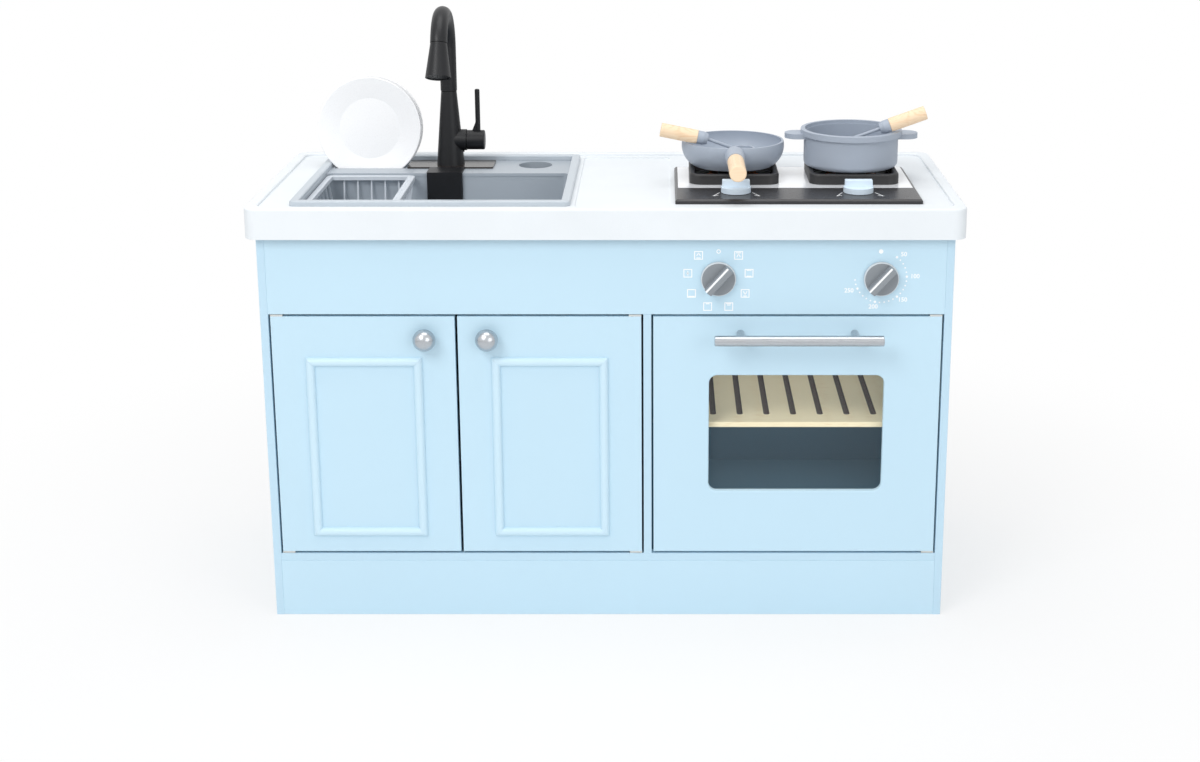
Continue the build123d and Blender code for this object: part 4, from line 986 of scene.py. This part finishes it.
@dataclass(frozen=True)
class Surroundings:
    """An even ambient light, and white wherever the camera or a reflection looks."""

    ambient_tone: Colour = (0.96, 0.98, 1.0)
    ambient_strength: float = 0.6

    def set_up(self) -> None:
        """Make the world."""
        made = bpy.data.worlds.new("studio")
        made.use_nodes = True
        bpy.context.scene.world = made
        nodes, links = made.node_tree.nodes, made.node_tree.links
        ambient = nodes["Background"]
        ambient.inputs["Color"].default_value = (*self.ambient_tone, 1.0)
        ambient.inputs["Strength"].default_value = self.ambient_strength
        white = nodes.new("ShaderNodeBackground")
        white.inputs["Color"].default_value = (1.0, 1.0, 1.0, 1.0)
        rays = nodes.new("ShaderNodeLightPath")
        seen = nodes.new("ShaderNodeMath")
        seen.operation = "MAXIMUM"
        chosen = nodes.new("ShaderNodeMixShader")
        links.new(rays.outputs["Is Camera Ray"], seen.inputs[0])
        links.new(rays.outputs["Is Glossy Ray"], seen.inputs[1])
        links.new(seen.outputs["Value"], chosen.inputs["Fac"])
        links.new(ambient.outputs["Background"], chosen.inputs[1])
        links.new(white.outputs["Background"], chosen.inputs[2])
        links.new(chosen.outputs["Shader"], nodes["World Output"].inputs["Surface"])


@dataclass(frozen=True)
class Lamp:
    """A square soft lamp, in metres and watts."""

    name: str
    place: Vector
    target: Vector
    size: float
    power: float
    tone: Colour = (1.0, 1.0, 1.0)

    def hang(self) -> None:
        """Hang the lamp, turned to its target."""
        data = bpy.data.lights.new(self.name, "AREA")
        data.shape = "SQUARE"
        data.size = self.size
        data.energy = self.power
        data.color = self.tone
        made = bpy.data.objects.new(self.name, data)
        made.location = self.place
        made.rotation_euler = (self.target - self.place).to_track_quat("-Z", "Y").to_euler()
        bpy.context.scene.collection.objects.link(made)


@dataclass(frozen=True)
class Viewpoint:
    """Where the photograph was taken from, in metres and degrees, with the lens in mm."""

    place: Triple = (0.0632, -2.0901, 0.9306)
    fall: float = 14.495
    lens: float = 54.295
    sensor_width: float = 36.0
    shift_x: float = -0.05217
    shift_y: float = -0.1
    clip_end: float = 60.0

    def set_up(self) -> None:
        """Make the camera."""
        data = bpy.data.cameras.new("photo_camera")
        data.sensor_width = self.sensor_width
        data.lens = self.lens
        data.shift_x = self.shift_x
        data.shift_y = self.shift_y
        data.clip_end = self.clip_end
        made = bpy.data.objects.new("photo_camera", data)
        made.location = self.place
        made.rotation_euler = (math.radians(90.0 - self.fall), 0.0, 0.0)
        bpy.context.scene.collection.objects.link(made)
        bpy.context.scene.camera = made


@dataclass(frozen=True)
class Studio:
    """The floor, the light and the camera."""

    target: Triple = (0.0, 0.0, 0.3)
    key: Triple = (-1.4, -2.2, 2.4)
    fill: Triple = (1.8, -2.4, 1.2)
    top: Triple = (0.0, -0.1, 2.6)
    fill_tone: Colour = (0.97, 0.99, 1.0)
    oven_lamp_size: float = 0.25
    oven_tone: Colour = (1.0, 0.98, 0.95)
    # Each oven lamp's height above the liner's middle, and its power
    oven_lamps: tuple[tuple[str, float, float], ...] = (
        ("upper_oven_lamp", 0.138, 0.14),
        ("lower_oven_lamp", 0.003, 0.16),
    )

    def hang_lamps(self) -> None:
        """Hang the soft lamps: key, fill and overhead, and one over each half of the oven."""
        middle = Vector(self.target)
        key, fill, top = (Vector(place) for place in (self.key, self.fill, self.top))
        Lamp("key_lamp", key, middle, size=1.4, power=38.0).hang()
        Lamp("fill_lamp", fill, middle, size=1.6, power=14.5, tone=self.fill_tone).hang()
        Lamp("top_lamp", top, middle, size=1.6, power=20.0).hang()
        oven = Vector(box_centre("oven_liner"))
        for name, rise, power in self.oven_lamps:
            place = oven + UP * rise
            Lamp(name, place, place - UP, self.oven_lamp_size, power, self.oven_tone).hang()

    def make(self) -> None:
        """Set up the whole studio."""
        bpy.context.scene.view_settings.view_transform = "Standard"
        Floor().lay()
        Surroundings().set_up()
        self.hang_lamps()
        Viewpoint().set_up()


@dataclass(frozen=True)
class Kitchen:
    """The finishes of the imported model's nodes and the new pieces on them."""

    # How far the stained grooves end from the shelf's front and back, lower face and upper face
    groove_end: float = 0.02
    groove_floor: float = 0.0005
    groove_skin: float = 0.0001
    # Beyond this radius each dial takes a painted highlight ring
    dial_highlight_radius: float = 0.0184
    # The sink's painted rim highlight covers what lies this close to its top
    sink_highlight_depth: float = 0.0055
    # The painted highlight's box reaches this far past the sink, so that only its lower face counts
    highlight_box_reach: float = 1.0

    def dress_cabinet(self) -> None:
        """Dress the boards and the doors."""
        dress(
            Paint("cabinet_blue", BLUE),
            "plinth_board",
            "fascia_board",
            "door_left_panel",
            "door_right_panel",
            "oven_door_panel",
        )
        # The mouldings take a lighter blue as a painted highlight
        dress(Paint("moulding_blue_highlight", BLUE_MOULDING_HIGHLIGHT), "door_left_moulding", "door_right_moulding")
        dress(
            Paint("frame_blue", BLUE_FRAME),
            "side_panel_left",
            "side_panel_right",
            "bottom_panel",
            "centre_divider",
            "oven_top_panel",
            "worktop_blocks",
        )
        dress(Paint("back_board_grey", BACK_GREY, roughness=0.7, peel=0.00008), "back_panel")
        dress(Plastic("fitting_white", FITTING_WHITE, 0.5), "magnet_catches", "pivot_bushes")
        dress(
            Brushed("pivot_metal", PIVOT_METAL, Axis.X, 0.35),
            "door_left_hardware",
            "door_right_hardware",
            "oven_door_hardware",
            "panel_screws",
            "shelf_pins",
        )
        for side in ("left", "right"):
            knob = f"door_{side}_knob"
            finish = Turned(f"{side}_knob_steel", STEEL, Axis.Y, 0.24, centre=box_centre(knob))
            dress(finish, knob)

    def dress_oven(self) -> None:
        """Dress the oven and the two dials."""
        dress(Brushed("bar_steel", STEEL, Axis.X, 0.26), "oven_door_handle")
        dress(Window("oven_window", WINDOW_TINT), "oven_door_pane")
        # The liner takes a dark slate that paints the oven's inner shade onto it
        dress(
            Plastic("oven_slate", PAINTED_SHADE_SLATE, 0.6, grain=0.00004, grain_scale=900.0), "oven_liner"
        )
        low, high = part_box("oven_shelf")
        grooves = BoxZone(
            (low.x, low.y + self.groove_end, low.z + self.groove_floor),
            (high.x, high.y - self.groove_end, high.z - self.groove_skin),
            GROOVE_BROWN,
        )
        middle = box_centre("oven_shelf")
        birch = Timber(
            "shelf_birch", BIRCH_LIGHT, BIRCH_DARK, middle, along=Axis.Y, zone=grooves
        )
        dress(birch, "oven_shelf")
        for dial in ("mode_dial", "temperature_dial"):
            # Each dial's rim takes a lighter grey ring as a painted highlight
            rim_highlight = RimZone(box_centre(dial), self.dial_highlight_radius, DIAL_RIM_HIGHLIGHT)
            finish = Plastic(
                f"{dial}_grey", DIAL_GREY, 0.38, grain=0.00002, grain_scale=1800.0, zone=rim_highlight
            )
            dress(finish, dial)

    def dress_worktop(self) -> None:
        """Dress the worktop, the sink and what stands in it."""
        dress(
            Plastic("worktop_white", WHITE_TOP, 0.5, grain=0.00014, grain_scale=900.0), "worktop"
        )
        low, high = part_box("sink_unit")
        reach = self.highlight_box_reach
        # Painted highlight: the sink's rim takes a lighter grey that stands in for the white it
        # reflects
        rim_highlight = BoxZone(
            (low.x - reach, low.y - reach, high.z - self.sink_highlight_depth),
            (high.x + reach, high.y + reach, high.z + reach),
            SINK_RIM_HIGHLIGHT,
        )
        dress(Plastic("sink_grey", SINK_GREY, 0.34, grain_scale=1500.0, zone=rim_highlight), "sink_unit")
        dress(Plastic("basket_grey", BASKET_GREY), "drainer_basket")
        dress(Brushed("strainer_steel", STEEL, Axis.X), "strainer")
        dress(
            Plastic("tap_black", BLACK, 0.38, grain_scale=1600.0, specular=0.35),
            "tap_body",
            "spout_tube",
            "spray_head",
            "spray_face",
            "lever_cap",
            "lever_rod",
            "pump_housing",
        )
        gloss = Plastic(
            "tap_plate_gloss",
            BROWN_BLACK,
            0.2,
            grain=0.00001,
            grain_scale=1600.0,
            clear_coat=0.1,
        )
        dress(gloss, "tap_plate")
        dress(Plastic("pump_white", PUMP_WHITE, 0.45), "pump_motor", "supply_tube")
        dress(
            Plastic("plate_white", PLATE_WHITE, 0.28, grain=0.00001, grain_scale=900.0),
            "plate_front",
            "plate_back",
        )

    def dress_hob(self) -> None:
        """Dress the hob and the loose cookware."""
        dress(
            Plastic("hob_black", HOB_BLACK, 0.3, grain=0.00002, grain_scale=1500.0),
            "hob_frame",
            "burner_caps",
        )
        dress(
            Plastic("grate_black", GRATE_BLACK, 0.5, grain=0.00008, grain_scale=900.0),
            "grates",
            "hob_module",
        )
        inlay = Plastic(
            "inlay_silver",
            INLAY_SILVER,
            0.2,
            grain=0.00001,
            grain_scale=1500.0,
            clear_coat=0.8,
        )
        dress(inlay, "hob_plate")
        dress(
            Plastic("flame_copper", COPPER, 0.3, grain=0.00002, clear_coat=0.4), "flame_rings"
        )
        dress(
            Plastic("knob_blue_grey", KNOB_BLUE_GREY, 0.36), "hob_knob_left", "hob_knob_right"
        )
        dress(
            Plastic("pot_grey", POT_GREY, 0.46, grain_scale=1100.0),
            "pot",
            "pan",
            "ladle",
            "spoon",
        )
        for node, tilt, along in (
            ("pan_handle", 0.0, Axis.Y),
            ("spoon_handle", -11.5, Axis.X),
            ("ladle_handle", 20.0, Axis.X),
        ):
            centre = box_centre(node)
            dress(Timber(f"{node}_beech", BEECH_LIGHT, BEECH_DARK, centre, tilt, along), node)

    def add_marks(self) -> None:
        """Add the printed marks and the dials' lines."""
        print_white = Plastic("print_white", PRINT_WHITE, 0.5).material()
        dials = ("mode_dial", "temperature_dial")
        fascia = FasciaPrint(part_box("fascia_board")[0].y, *map(box_centre, dials))
        fascia.make_symbols(print_white)
        fascia.make_heat_scale(print_white)
        for dial in dials:
            DialPointer(dial, box_centre(dial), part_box(dial)[0].y).make(print_white)
        knobs = (box_centre("hob_knob_left"), box_centre("hob_knob_right"))
        HobMarks(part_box("hob_frame")[1].z, knobs).make(print_white)


def main() -> None:
    """Build the studio and the kitchen."""
    logging.basicConfig(level=logging.INFO, format="%(message)s")
    Studio().make()
    kitchen = Kitchen()
    kitchen.dress_cabinet()
    kitchen.dress_oven()
    kitchen.dress_worktop()
    kitchen.dress_hob()
    kitchen.add_marks()


if __name__ == "__main__":
    main()
